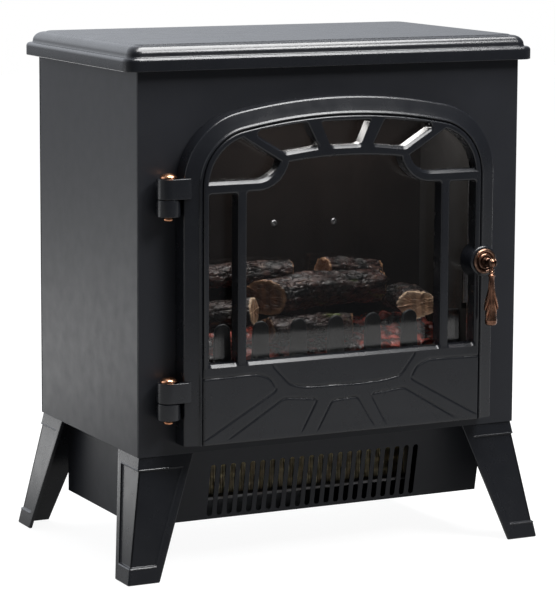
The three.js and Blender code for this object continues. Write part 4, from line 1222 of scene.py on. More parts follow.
# ------------------------------------------------------------------------------------------------
# Door
# ------------------------------------------------------------------------------------------------
@dataclass
class Door:
    """The moulded door: a sloping band with a bead, a fretwork plate and a lower panel in relief.

    Attributes:
        back: Y of the band's back.
        rim: Y of the outer edge's front.
        face: Y of the fretwork's face.
        bottom: Height of the lower edge.
        seam: Height where plate and lower panel meet.
        relief: Depth of the pressed grooves.
        knob: X and Z of the handle's boss.
    """

    back: float = -131.5
    rim: float = -150.0
    face: float = -158.5
    bottom: float = 137.5
    seam: float = 215.6
    relief: float = 0.8
    knob: Pair = (163.5, 306.0)

    def band(self) -> Shell:
        """The outline's offsets carried through a profile: side, rounded rim, slope, bead and groove.

        Returns:
            The closed band.
        """
        rim = arc((2.6, self.rim + 0.1), 2.6, 180, 252, 8)
        side = [(0, self.back), (0, self.rim + 5)]
        slope = [(3.4, -152.75), (8.5, -154.2), (14.6, -155.75), (14.95, -156.2)]
        bead = [(15.3, -157.1), (15.9, -157.75), (16.7, -157.95), (17.4, -157.6), (17.8, -156.8)]
        groove = [(18.0, -156.0), (18.4, -155.5), (21, -155.4), (21, -147), (4, -143), (4, self.back)]
        profile = np.concatenate([side, rim, slope, bead, groove])
        rings = np.stack([door_outline(inset) for inset, _ in profile], 1)
        depth = np.broadcast_to(profile[None, :, 1], rings.shape[:2])
        points = np.stack([rings[..., 0], depth, rings[..., 1]], -1)
        return lofted(points)

    def windows(self) -> list[Array]:
        """Outlines of the eight openings.

        Returns:
            The main opening, the crown, and three pairs.
        """
        fan, sill, reach = (100.0, 429.0), 218.0, 194.0
        outside, inside, bow = 36.5, 26.5, 8
        ray = np.array((math.cos(math.radians(reach)), math.sin(math.radians(reach))))
        tip = np.array(fan) + outside * ray
        crest = np.array((0, tip[1] + bow))
        corner = arc(fan, outside, 270, reach, 16)
        t = np.linspace(0, 1, 14)[1:-1, None]
        lintel = (1 - t) ** 2 * tip + 2 * t * (1 - t) * crest + t**2 * (tip * (-1, 1))
        foot = arc((109, sill + 3), 3, 270, 360, 5)
        turn = arc((109, 389.5), 3, 0, 90, 5)
        half = np.concatenate([foot, turn, corner])
        main = np.concatenate([half, lintel, flipped(half)])
        fan_arc = arc(fan, inside, 270, 196.2, 16)
        rim_arc = arc((103.5, 398.5), 50, 75, 4.6, 20)
        quarter = np.concatenate([fan_arc, rim_arc])
        side = softened([(122, sill), (153.5, sill), (153.5, 391.5), (122, 391.5)], 3)
        wedge = softened([(31, 433.4), (69, 429), (101, 448.3), (98, 453.8), (44.7, 459.6)], 3)
        crown = softened([(-17, 433.5), (17, 433.5), (29, 459.6), (-29, 459.6)], 3.5)
        pairs = [outline for shape in (quarter, side, wedge) for outline in (shape, flipped(shape))]
        return [main, crown, *pairs]

    def plate(self) -> Shell:
        """The fretwork, with rounded edges, and a slanted sill along the foot of each opening.

        On a sill the rounding's quarter circle becomes a straight slope, up and back.

        Returns:
            The plate, without the band round it.
        """
        outline = door_outline(18.9, 26)
        overlap, back = 1.45, -142.2
        radius, rise, reach = 1.9, 1.2, 3.2
        gather, favour, front_part = 2.2, 0.02, 8
        outline[[0, -1], 1] = self.seam - overlap
        shell = upright([outline, *self.windows()], self.face, back, radius, 4)
        points = shell.points
        upness = np.zeros(len(points))
        nearest = np.full(len(points), gather)
        for window in self.windows():
            middle = window.mean(0)
            for a, b in zip(window, np.roll(window, -1, 0)):
                along = b - a
                away = points[:, [0, 2]] - a
                share = np.clip(away @ along / (along @ along), 0, 1)
                far = np.linalg.norm(away - share[:, None] * along, axis=1)
                level_share = abs(along[0]) / np.linalg.norm(along)
                up = level_share if (a[1] + b[1]) / 2 < middle[1] else 0.0
                judged = far - favour * up
                closer = judged < nearest
                nearest[closer], upness[closer] = judged[closer], up
        weight = smooth(upness, 0.45, 0.95)
        depth = points[:, 1] - self.face
        share = np.clip(depth / radius, 0, 1)
        left = radius - np.clip(depth, 0, radius)
        inset = radius - np.sqrt(np.clip(radius**2 - left**2, 0, None))
        points[:, 2] += weight * (inset - radius + (radius + rise) * share)
        points[:, 1] += weight * (reach - radius) * share * (depth < front_part)
        return Shell(points, shell.faces)

    def fields(self) -> list[Array]:
        """Outlines of the six fields whose edges are pressed into the lower panel.

        Returns:
            X and Z of each outline.
        """
        outer = [(-180, 205.3), (-99.2, 206.7), (-84.7, 200.9), (-77.5, 188.6), (-165, 139.5), (-180, 131)]
        inner = [(-137, 139.2), (-70.2, 179.4), (-31.2, 175.8), (-53, 136.3)]
        upper = [
            (-82.6, 214.2), (-63, 193.3), (-45.5, 189.1), (17.8, 188), (45.5, 189.1),
            (65.2, 192.4), (82.6, 214.2), (82.6, 225), (-82.6, 225),
        ]
        middle = [(-36, 134), (-14.4, 172.6), (15.8, 174.1), (40.5, 134)]
        shapes = [outer, inner, flipped(outer), flipped(inner), upper, middle]
        return [softened(shape, 4.5, 4) for shape in shapes]

    @staticmethod
    def inside(points: Array, corners: Array) -> Array:
        """Distance from each point to a polygon's edge, positive inside it and negative outside.

        Args:
            points: X and Z of each point.
            corners: The polygon, which has no hollow corner.

        Returns:
            One distance for each point.
        """
        start, end = corners, np.roll(corners, -1, 0)
        edge = end - start
        area = np.sum(start[:, 0] * end[:, 1] - end[:, 0] * start[:, 1])
        near = np.full(len(points), 1e9)
        deep = np.full(len(points), 1e9)
        for a, e in zip(start, edge):
            away = points - a
            share = np.clip(away @ e / (e @ e), 0, 1)
            near = np.minimum(near, np.linalg.norm(away - share[:, None] * e, axis=1))
            side = (e[0] * away[:, 1] - e[1] * away[:, 0]) / np.linalg.norm(e) * np.sign(area)
            deep = np.minimum(deep, side)
        return np.where(deep > 0, near, -near)

    def panel(self) -> Shell:
        """The lower panel: a height field pressed in along each field's edge, and a little inside it.

        Returns:
            The panel, whose grooves fade near the bottom.
        """
        half, columns, rows = 159.6, 540, 136
        groove, floor, drop, back = 0.95, 0.12, 1.2, -150.0
        gx, gz = np.meshgrid(np.linspace(-half, half, columns), np.linspace(self.bottom, self.seam, rows))
        flat = np.stack([gx.ravel(), gz.ravel()], -1)
        sunk = np.zeros(len(flat))
        for corners in self.fields():
            into = self.inside(flat, corners)
            sunk = np.maximum(sunk, np.exp(-((into / groove) ** 2)) + floor * smooth(into, 0, 2))
        sunk *= smooth(flat[:, 1], 140.0, 150)
        lip = smooth(flat[:, 1], self.bottom, self.bottom + 1.6) - 1
        edge = smooth(half - np.abs(flat[:, 0]), 0, 1.5) - 1
        depth = self.face + self.relief * sunk - drop * lip - drop * edge
        return slab(np.stack([gx, depth.reshape(gx.shape), gz], -1), back)

    def boss(self) -> Shell:
        """The swelling that carries the handle, cut off flush with the door's edge.

        Returns:
            The closed boss.
        """
        x, z = self.knob
        crown = [(0, -160), (13.4, -160), (14.6, -159.85), (15.4, -159.3), (15.9, -158.3)]
        skirt, door_edge = [(17.2, -153), (19.3, -143), (0, -143)], 178.4
        shell = turned([*crown, *skirt], (x, 0, z), Axis.Y, 64)
        shell.points[:, 0] = np.minimum(shell.points[:, 0], door_edge)
        return shell

    def make(self) -> None:
        """Builds the frame, dresses the glass and its clips."""
        shells = [self.band(), self.plate(), self.panel(), self.boss()]
        build("door_moulding", shells, MOULD_BLACK, "door", ["door_frame"], crease=38)
        dress("door_glass", DOOR_GLASS, 0)
        for side in ("left", "right"):
            dress(f"glass_retainer_{side}", BRIGHT_STEEL, 0.4)
        dress("catch_plate", BRIGHT_STEEL, 0.3)
        dress("catch_magnet", INNER_BLACK, 0.4)


# ------------------------------------------------------------------------------------------------
# Legs and heater housing
# ------------------------------------------------------------------------------------------------
@dataclass
class Leg:
    """A splayed angle section with a sunken field that wraps its outer corner.

    Attributes:
        name: Which leg, as in the CAD node's name.
        signs: Side of the cabinet across and from front to back.
        top: Height of the leg.
        wall: Thickness of the section.
        radius: Radius of the outer corner.
    """

    name: str
    signs: tuple[int, int]
    top: float = 124.7
    wall: float = 3.5
    radius: float = 1.6

    def samples(self) -> tuple[Array, Array]:
        """Places across one face: millimetres from the inner edge, then shares of the rest."""
        border = np.array([0, 0.25, 0.8, 4, 7.9, 8.3, 8.6, 8.9, 9.2, 9.6, 10.4])
        return border, np.linspace(0.08, 1, 10)

    def ring(self, height: float) -> Array:
        """Outline of the leg at one height: both outer faces, then both inner faces.

        Args:
            height: Height above the floor.

        Returns:
            One ring of points.
        """
        share = height / self.top
        foot_size, top_size = np.array([240, 151, 35, 33.0]), np.array([217.8, 129.3, 60, 54])
        sizes = foot_size + (top_size - foot_size) * share
        out, wide = sizes[:2], sizes[2:]
        border, rest = self.samples()
        opens, closes = (16.6, 17.7), (110.9, 112.0)
        field_rise = smooth(height, *opens) * (1 - smooth(height, *closes))
        bead = 0.55 * math.exp(-(((height - 16.0) / 0.45) ** 2))
        bead += 0.3 * math.exp(-(((height - 112.6) / 0.4) ** 2))
        foot = 0.9 * max(0.0, 1 - height / 0.9)
        wall, radius = self.wall, self.radius

        def face(width: float) -> tuple[Array, Array]:
            """Distance from the corner and depth below the face for each place.

            Args:
                width: Width of the face at this height.

            Returns:
                Both values for each place.
            """
            place = np.concatenate([border, border[-1] + rest * (width - border[-1] - radius)])
            sunk = 1.9 * field_rise * smooth(place, 8.2, 9.5)
            raised = bead * smooth(place, 8.0, 9.2)
            edge = 0.5 * np.clip(1 - place / 0.8, 0, 1) ** 2
            return width - place, sunk - raised + edge + foot

        side_away, side_deep = face(wide[1])
        front_away, front_deep = face(wide[0])
        side = np.stack([out[0] - side_deep, out[1] - side_away], -1)
        front = np.stack([out[0] - front_away, out[1] - front_deep], -1)[::-1]
        middle_x, middle_y = side[-1, 0] - radius, front[0, 1] - radius
        corner = arc((middle_x, middle_y), radius, 0, 90, 7)
        inner = np.array([
            (out[0] - wide[0], out[1] - wall), (out[0] - wall - 2, out[1] - wall),
            (out[0] - wall, out[1] - wall - 2), (out[0] - wall, out[1] - wide[1]),
        ])
        flat = np.concatenate([side, corner, front, inner])
        return np.column_stack([flat * self.signs, np.full(len(flat), height)])

    def make(self) -> None:
        """Carries the outline up the leg, with close steps at the field's ends."""
        heights = np.concatenate([
            [0, 0.3, 0.9], np.linspace(5, 14.5, 3), np.linspace(15, 18.2, 15),
            np.linspace(22, 108, 12), np.linspace(110.6, 113.6, 13), np.linspace(117, self.top, 3),
        ])
        shell = lofted(np.stack([self.ring(h) for h in heights]))
        node = f"leg_{self.name}"
        build(f"{node}_moulding", [shell], MOULD_BLACK, "cabinet", [node], crease=40)


@dataclass
class Housing:
    """The heater housing's grille, with round-ended slots, and what lies behind it.

    Attributes:
        half: Half width of the grille.
        low: Height of the lower edge.
        high: Height of the upper edge.
        lean: How far the grille leans forward with height.
        front: Y of the lower front edge.
        count: Number of slots.
        pitch: Distance between slots.
        fins: Number of fins in the element.
    """

    half: float = 200.5
    low: float = 42.4
    high: float = 124.7
    lean: float = 0.2
    front: float = -85.4
    count: int = 22
    pitch: float = 11.4
    fins: int = 96

    def grille(self) -> None:
        """A flat plate with slots, sheared so that it leans to the front by its share of the height."""
        low, high, radius, thickness, edge = 46.0, 102.0, 3.0, 1.2, 0.35
        outlines = [oblong(-self.half, self.low, self.half, self.high)]
        for i in range(self.count):
            outlines.append(slot_outline((i - (self.count - 1) / 2) * self.pitch, low, high, radius))
        plate = upright(outlines, 0, thickness, edge)
        plate.points[:, 1] += self.front - self.lean * (plate.points[:, 2] - self.low)
        build("outlet_grille_plate", [plate], STEEL_BLACK, "cabinet", ["outlet_grille"])

    def element(self) -> None:
        """Thin wavy fins across three heating bars."""
        half, thick, wave_height, samples = 130.5, 0.16, 0.5, 5
        depth = np.linspace(-52, -31, samples)
        shells = []
        for i, at in enumerate(np.linspace(-half, half, self.fins)):
            middle = at + wave_height * np.sin(depth * 0.6 + i % 2 * np.pi)
            left, right = np.stack([middle - thick, depth], -1), np.stack([middle + thick, depth], -1)
            front = np.concatenate([left, right[::-1]])
            rings = np.stack([np.column_stack([front, np.full(2 * samples, z)]) for z in (59.6, 95.4)])
            shells.append(lofted(rings))
        for z in (66.0, 77.5, 89.0):
            shells.append(across([oblong(-47.5, z - 3, -34.5, z + 3, 2.9)], -130.8, 130.8, 0.4))
        build("element_fins", shells, FIN_METAL, "cabinet", ["heating_element"])

    def make(self) -> None:
        """Builds the grille and the element and dresses the rest of the heater."""
        self.grille()
        self.element()
        rows = (
            ("heater_housing", STEEL_BLACK, 0.3), ("element_frame", MOTOR_STEEL, 0.4),
            ("thermal_cutout", WHITE_MOULD, 0.4), ("blower_rotor", FIN_METAL, 0),
            ("blower_scroll", BRIGHT_STEEL, 0.3), ("blower_motor", MOTOR_STEEL, 0.6),
            ("terminal_block", WHITE_MOULD, 0.8),
        )
        for node, finish, edge in rows:
            dress(node, finish, edge)


# ------------------------------------------------------------------------------------------------
# Hinges and handle
# ------------------------------------------------------------------------------------------------
@dataclass
class Hinge:
    """A two-knuckle hinge with a domed copper pin.

    Attributes:
        name: Which hinge.
        split: Height between its knuckles.
        axis: X and Y of the pin.
        radius: Radius of the knuckles.
    """

    name: str
    split: float
    axis: Pair = (-192.0, -144.0)
    radius: float = 12.0

    def knuckle(self, low: float, high: float) -> Shell:
        """A bored barrel whose edges are rounded by 0.9 mm.

        Args:
            low: Height of its lower end.
            high: Height of its upper end.

        Returns:
            The closed barrel.
        """
        r, round_off, middle, bore = self.radius, 0.9, 0.25, 4.35
        lower = [(r - round_off, low), (r - middle, low + middle), (r, low + round_off)]
        upper = [(r, high - round_off), (r - middle, high - middle), (r - round_off, high)]
        profile = [(bore, low + 0.2), *lower, *upper, (4.8, high), (bore, high - 0.3)]
        return turned(profile, (*self.axis, 0), Axis.Z, 64, loop=True)

    def leaf(self) -> None:
        """Knuckle and arm that turn with the door; the arm laps over the door's band."""
        x, y = self.axis
        low, high = self.split + 0.3, self.split + 20.7
        arm = [
            (x, y - 11.9), (x + 9, y - 11.9), (x + 15, y - 11.6), (x + 19.5, y - 11.3), (x + 20.6, y - 10.6),
            (x + 20.6, y - 7.2), (x + 12.6, y + 1.5), (x + 5, y + 2),
        ]
        shells = [self.knuckle(low, high), level([np.asarray(arm)], low, high, 0.7)]
        node = f"hinge_leaf_{self.name}"
        build(f"{node}_cast", shells, MOULD_BLACK, "door", [node])

    def bracket(self) -> None:
        """Knuckle and stem fixed to the cabinet."""
        x, y = self.axis
        low, high = self.split - 17.3, self.split - 0.3
        stem = oblong(x - 8, y + 4.6, x + 8, -130.8, 1.2)
        shells = [self.knuckle(low, high), level([stem], low, high, 0.7)]
        node = f"hinge_bracket_{self.name}"
        build(f"{node}_cast", shells, MOULD_BLACK, "cabinet", [node])

    def pin(self) -> None:
        """Domed head, shank and a rolled end ring."""
        head, foot = self.split + 21.0, self.split - 17.6
        dome = [(8.4, head), (8.6, head + 0.4), (8.5, head + 1.1), (8.0, head + 2.0)]
        turn = np.radians(np.linspace(20, 90, 10))
        dome += list(zip(8.3 * np.cos(turn), head + 0.2 + 4.6 * np.sin(turn)))
        ring = [
            (0, 4.2), (2.2, 4.2), (2.6, 3.8), (3.2, 4.1), (4.3, 4.1),
            (5.0, 3.4), (5.2, 2.5), (5.0, 1.5), (4.5, 0.8), (4.0, 0.2),
        ]
        profile = [*((r, foot - drop) for r, drop in ring), (4.0, head), *dome]
        shell, node = turned(profile, (*self.axis, 0)), f"hinge_pin_{self.name}"
        build(f"{node}_turned", [shell], PIN_COPPER, "cabinet", [node])

    def make(self) -> None:
        """Builds leaf, bracket and pin."""
        self.leaf()
        self.bracket()
        self.pin()


@dataclass
class Handle:
    """Rosette, forked post and a drop pendant with leaves.

    Attributes:
        place: X, Y and Z of the pendant's pivot.
        back: Y of the rosette's back.
    """

    place: Triple = (163.5, -175.3, 306.0)
    back: float = -160.3

    def rosette(self) -> None:
        """Two polished rings round a sunken middle."""
        rings = [
            (0, 0), (12.9, 0), (13.2, 0.5), (13.15, 1.3), (12.6, 2.2), (11.6, 2.8), (10.6, 2.8),
            (9.8, 2.2), (9.4, 1.4), (9.1, 1.15), (8.8, 1.4), (8.5, 2.4), (7.8, 3.4), (6.9, 3.7),
            (6.1, 3.3), (5.7, 2.4), (5.4, 1.7), (0, 1.7),
        ]
        x, _, z = self.place
        shell = turned([(r, self.back - h) for r, h in rings], (x, 0, z), Axis.Y, 64)
        build("rosette_turned", [shell], BRONZE, "door", ["handle_rosette"], crease=60)

    def post(self) -> None:
        """A waisted stem, a yoke, and two domed cheeks that hold the pendant's eye."""
        x, y, z = self.place
        stem = [
            (0, -161.9), (4.7, -161.9), (4.9, -162.8), (4.3, -164), (3.5, -165.4),
            (3.4, -166.6), (4.1, -167.8), (4.3, -168.8), (3.6, -169.6), (0, -169.8),
        ]
        dome = [(0, 5.2), (1.6, 5.1), (3.0, 4.7), (4.1, 4.0), (4.7, 3.2), (4.8, 2.7), (4.6, 2.4), (0, 2.4)]
        cheek = turned(dome, (0, 0, 0), Axis.X, 40)
        arm = across([oblong(y - 1, -2.6, -168.4, 2.6, 0.8)], 2.4, 4.2, 0.35)
        shells = [turned(stem, (x, 0, z), Axis.Y, 40)]
        for part, shift in ((cheek, y), (arm, 0)):
            shells += [part.moved((x, shift, z)), part.mirrored().moved((x, shift, z))]
        shells.append(across([oblong(-169.8, z - 2.8, -168.1, z + 2.8, 0.8)], x - 4.2, x + 4.2, 0.4))
        shells.append(turned([(0, -4), (1.7, -4), (1.7, 4), (0, 4)], (x, y, z), Axis.X, 24))
        build("post_cast", shells, BRONZE, "door", ["handle_post"], crease=50)

    def leaf(self, knots: Sequence[Pair], width: float) -> Shell:
        """A leaf of the pendant: a rod through four knots, swelling in its middle and thin at its tip.

        Args:
            knots: X and Z of the knots from the root to the tip.
            width: Half width at the middle.

        Returns:
            The closed leaf.
        """
        t = np.linspace(0, 1, 22)
        knots = np.asarray(knots, float)
        share = np.linspace(0, 1, len(knots))
        path = np.zeros((len(t), 3))
        for column, source in ((0, 0), (2, 1)):
            path[:, column] = np.polyval(np.polyfit(share, knots[:, source], min(3, len(knots) - 1)), t)
        swell = np.sin(np.pi * np.clip(0.12 + 0.86 * t, 0, 1)) ** 0.7
        return tube(path, width * swell + 0.12, 0.9 + 2.0 * swell, 18)

    def pendant(self) -> None:
        """Eye, beaded neck, collar, a fluted body with a round foot, and two leaves on each side."""
        x, y, z = self.place
        eye = [(2.05, 2.1), (2.05, -2.1), (3.9, -2.1), (4.5, -1.5), (4.6, 0), (4.5, 1.5), (3.9, 2.1)]
        neck = [
            (0, -3.0), (2.0, -3.2), (2.05, -5.3), (2.5, -6.0), (2.9, -6.9), (2.5, -7.8), (2.0, -8.4),
            (2.5, -9.0), (2.9, -9.8), (2.4, -10.7), (2.1, -11.4), (3.2, -12.3), (3.9, -13.1), (3.9, -13.9),
        ]
        drop = [
            (3.1, -14.7), (2.9, -16), (3.2, -24), (3.6, -34), (3.9, -44), (4.5, -51), (5.4, -56),
            (6.3, -59.6), (6.7, -60.6), (6.6, -61.4), (6.2, -61.9), (6.5, -62.6), (6.4, -63.9),
            (5.4, -65.2), (3.0, -65.9), (0, -66.0),
        ]
        body = [*neck, *drop]
        fluted = turned(body, (0, 0, 0), Axis.Z, 64, (1.0, 0.86))

        def flute(p: Array) -> Array:
            """Presses ten flutes into the body between collar and foot.

            Args:
                p: Points of the body.

            Returns:
                The points moved.
            """
            angle = np.arctan2(p[:, 1], p[:, 0])
            depth = 0.09 * np.cos(10 * angle) * smooth(-p[:, 2], 16, 22) * (1 - smooth(-p[:, 2], 57, 60))
            p[:, :2] *= (1 + depth)[:, None]
            return p

        upper = self.leaf([(1.6, -23), (3.2, -33), (5.8, -42), (7.7, -49.5)], 1.55)
        lower = self.leaf([(2.0, -33), (3.2, -43), (4.8, -51), (5.9, -57.5)], 1.55)
        leaves = [upper, lower, upper.mirrored(), lower.mirrored()]
        shells = [turned(eye, (0, 0, 0), Axis.X, 40, loop=True), fluted.bent(flute), *leaves]
        shells = [shell.moved((x, y, z)) for shell in shells]
        build("pendant_cast", shells, COPPER, "pendant", ["handle_pendant"], crease=60)

    def make(self) -> None:
        """Builds the three pieces of the handle."""
        self.rosette()
        self.post()
        self.pendant()


# ------------------------------------------------------------------------------------------------
# Fire
# ------------------------------------------------------------------------------------------------
@dataclass
class Grate:
    """The cast front of the fire: six round-topped teeth between two end posts.

    Attributes:
        reach: Half width.
        floor: Height of its foot.
        root: Height between the teeth.
        top: Height of the teeth.
        depth: Y of its front and back.
    """

    reach: float = 171.0
    floor: float = 168.0
    root: float = 209.0
    top: float = 249.0
    depth: Pair = (-97.0, -94.0)

    def make(self) -> None:
        """One thick plate with well-rounded edges."""
        bend = arc((11.6, self.root + 1.2), 1.2, 270, 180, 4)
        half = np.concatenate([bend, [(9.3, self.top - 15)], arc((0, self.top - 9), 9, 12, 88, 9)])
        tooth = np.concatenate([half, flipped(half)])
        x, z = self.reach, self.top
        post = np.array([(x, z - 4), (x - 1, z - 3), (x - 19, z - 3), (x - 20.4, z - 5), (x - 22, self.root)])
        teeth = [tooth + (at, 0) for at in (110, 66, 22, -22, -66, -110)]
        outline = np.concatenate([[(-x, self.floor), (x, self.floor)], post, *teeth, flipped(post)])
        plate = upright([outline], self.depth[0] - 1.2, self.depth[1], 1.9, 5)
        build("grate_cast", [plate], GRATE_GREY, "cabinet", ["fire_grate"])


class Core(Enum):
    """Wood that shows at a log's sawn ends."""

    BROWN = DARK_LOG
    PALE = PALE_LOG


@dataclass
class Log:
    """A cast log: rough rings along a bowed axis, with a sawn face at each end.

    Attributes:
        name: Name of the CAD node.
        start: Middle of one end.
        end: Middle of the other end.
        radii: Mean radius at the two ends.
        seed: Which bark.
        core: Wood of its sawn ends.
        slant: How far the end faces lean along the axis towards the front, in millimetres.
        flat: Shares of the radius across and up.
    """

    name: str
    start: Triple
    end: Triple
    radii: Pair
    seed: int
    core: Core = Core.BROWN
    slant: Pair = (3.0, 3.0)
    flat: Pair = (1.0, 1.0)

    def make(self) -> None:
        """Radius at an angle and station: the mean, times slow waves, plus layered noise that is stretched
        along the log, less deep cracks where ridged noise is near zero."""
        stations, steps = 110, 96
        start, end = np.asarray(self.start, float), np.asarray(self.end, float)
        along = (end - start) / np.linalg.norm(end - start)
        side = np.cross((0, 0, 1), along)
        side /= np.linalg.norm(side)
        up = np.cross(along, side)
        length = np.linalg.norm(end - start)
        turn = np.linspace(0, 2 * np.pi, steps, endpoint=False)
        share, angle = np.meshgrid(np.linspace(0, 1, stations), turn, indexing="ij")
        mean = self.radii[0] + (self.radii[1] - self.radii[0]) * share
        outward = side * self.flat[0] * np.cos(angle)[..., None]
        outward = outward + up * self.flat[1] * np.sin(angle)[..., None]
        place = start + along * (share * length)[..., None] + outward * mean[..., None]
        long, wide = 15.0, 6.5
        local = np.stack([place @ along / long, place @ side / wide, place @ up / wide], -1).reshape(-1, 3)
        rough = layered_noise(local + self.seed * 7.3, self.seed, 4).reshape(share.shape)
        slow = lattice_noise(local * 0.35 + self.seed, self.seed + 40).reshape(share.shape)
        crack = np.abs(lattice_noise(local * (0.8, 1.15, 1.15) + 3.1, self.seed + 80))
        crack = 1 - smooth(crack.reshape(share.shape), 0.0, 0.12)
        fine = layered_noise(local * (2.5, 3.5, 3.5), self.seed + 120, 2).reshape(share.shape)
        swell, ridge, crumb, crevice = 0.12, 1.3, 0.5, 1.5
        radius = mean * (0.97 + swell * slow) + ridge * rough + crumb * fine - crevice * crack
        wedge = np.pi / 5  # half the angle of each of five flats
        facet = np.cos(wedge) / np.cos((angle + self.seed) % (2 * wedge) - wedge)
        radius = radius * (0.35 + 0.65 * (0.55 + 0.45 * facet) / 0.95)
        lean = -np.interp(share, [0, 1], [self.slant[0], -self.slant[1]]) * np.cos(angle)
        edge = np.minimum(share, 1 - share) * length
        radius -= 1.6 * np.exp(-((edge / 1.1) ** 2)) * (0.6 + 0.4 * np.sin(5 * angle))
        shift = lean * np.exp(-((edge / 24.0) ** 2))
        bow = 2.0 * np.sin(np.pi * share)
        ring = start + along * (share * length + shift)[..., None] + outward * radius[..., None]
        ring = ring + up * bow[..., None]
        caps = np.array([0.97, 0.9, 0.72, 0.5, 0.28, 0.1, 0.0])
        first, last = ring[0], ring[-1]
        sawn = np.stack([first @ side / 2.5, first @ up / 2.5, np.zeros(steps)], -1)
        grain = 0.5 * layered_noise(sawn, self.seed, 2)

        def close(edge_ring: Array, inward: Array) -> Array:
            """Rings that shrink to the middle of an end face, which is sunk a little.

            Args:
                edge_ring: The last ring of the bark.
                inward: Direction into the log.

            Returns:
                The rings, from the edge to the middle.
            """
            middle = edge_ring.mean(0)
            rows = middle + (edge_ring - middle) * caps[:, None, None]
            return rows + inward * (0.9 * (1 - caps[:, None]) ** 0.5 + grain * caps[:, None])[..., None]

        rings = np.concatenate([close(first, along)[::-1], ring, close(last, -along)])
        worn = 1 - smooth(edge + 1.5 * rough, 1.2, 2.6)
        on_cap, off_cap = np.ones((len(caps), steps)), np.zeros((len(caps), steps))
        cut = np.concatenate([on_cap, worn, on_cap])
        edge_share = np.concatenate([caps[::-1], np.ones(stations), caps])
        # Share of the painted ember glow: the log's lower side, varied by slow noise.
        under = smooth(-outward[..., 2] + 0.35 * slow, -0.15, 0.35)
        under = np.concatenate([off_cap, under, off_cap])
        shell = lofted(rings, caps=False)
        shell.marks = {"cut": cut.ravel(), "ring": np.repeat(edge_share, steps), "under": under.ravel()}
        wood = self.core.value
        build(f"{self.name}_cast", [shell], wood, "cabinet", [self.name], crease=60)


@dataclass
class Fire:
    """Everything behind the door glass: liner, screen, grate, ember bed and logs."""

    def bed(self) -> None:
        """Ember bed: a slope from front to back with rounded lumps, the highest of many small domes."""
        half, front, back, low, rise, count = 171, -93, -9, 209.5, 20, 420
        gx, gy = np.meshgrid(np.linspace(-half, half, 250), np.linspace(front, back, 66))
        flat = np.stack([gx.ravel(), gy.ravel()], -1)
        slope = low + rise * (flat[:, 1] - front) / (back - front)
        draw = np.random.default_rng(11)
        across_bed, along_bed = draw.uniform(-half, half, count), draw.uniform(front, back, count)
        lumps = np.zeros(len(flat))
        for cx, cy, size in zip(across_bed, along_bed, draw.uniform(3.5, 8.5, count)):
            far = np.hypot(flat[:, 0] - cx, flat[:, 1] - cy) / size
            lumps = np.maximum(lumps, 0.62 * size * np.sqrt(np.clip(1 - far**2, 0, 1)))
        rough = 0.5 * layered_noise(np.column_stack([flat / 3.5, np.zeros(len(flat))]), 5, 2)
        height = (slope + lumps + rough).reshape(gx.shape)
        top = np.stack([gx, gy, height], -1)
        turned_up = slab(top[..., [0, 2, 1]], 206.0)
        shell = Shell(turned_up.points[:, [0, 2, 1]], turned_up.faces)
        build("ember_bed_cast", [shell], EMBERS, "cabinet", ["ember_bed"], crease=60)

    def screws(self) -> None:
        """Four screws in the screen."""
        places = ((-7, 337), (65, 335), (-150, 470), (150, 470))
        shells = [screw_head((x, -8.0, z), 3.6, -1) for x, z in places]
        build("screen_screws", shells, SCREW_STEEL, "cabinet", crease=40)

    def make(self) -> None:
        """Builds the fire and dresses the liner and the flame drive."""
        Grate().make()
        self.bed()
        self.screws()
        logs = [
            Log("log_top", (-50, -70, 269), (98, -52, 270), (20, 18), 1, Core.BROWN, (15, 3)),
            Log("log_front", (-52, -80, 235), (52, -78, 234), (13, 13.5), 2, Core.BROWN, (3, 6)),
            Log("log_left", (-150, -62, 246), (-64, -78, 256), (17, 15), 3, Core.PALE, (3, 8)),
            Log("log_right", (131, -78, 250), (134, -26, 252), (17, 16), 4, Core.PALE, (-9, 3), (1.25, 0.9)),
            Log("log_rear_left", (-138, -27, 284), (6, -24, 286), (13, 13), 5),
            Log("log_rear_right", (42, -26, 287), (114, -24, 279), (12.5, 12.5), 6),
        ]
        for log_piece in logs:
            log_piece.make()
        for node in ("firebox_left_wall", "firebox_right_wall", "firebox_roof", "firebox_floor"):
            dress(node, INNER_BLACK, 0.3)
        dress("flame_screen", ACRYLIC, 0.4)
        dress("flame_spindle", BRIGHT_STEEL, 0.2)
        for node, finish, edge in self.drive():
            dress(node, finish, edge)

    @staticmethod
    def drive() -> list[tuple[str, Finish, float]]:
        """CAD nodes of the flame drive and the lamps, with their finishes.

        Returns:
            Node, finish and edge radius of each.
        """
        rows = [("spindle_motor", MOTOR_STEEL, 0.5), ("spindle_bracket", BRIGHT_STEEL, 0.3)]
        for side in ("left", "right"):
            rows += [(f"lampholder_{side}", WHITE_MOULD, 0.6), (f"lamp_{side}", LAMP_GLASS, 0.0)]
        return rows


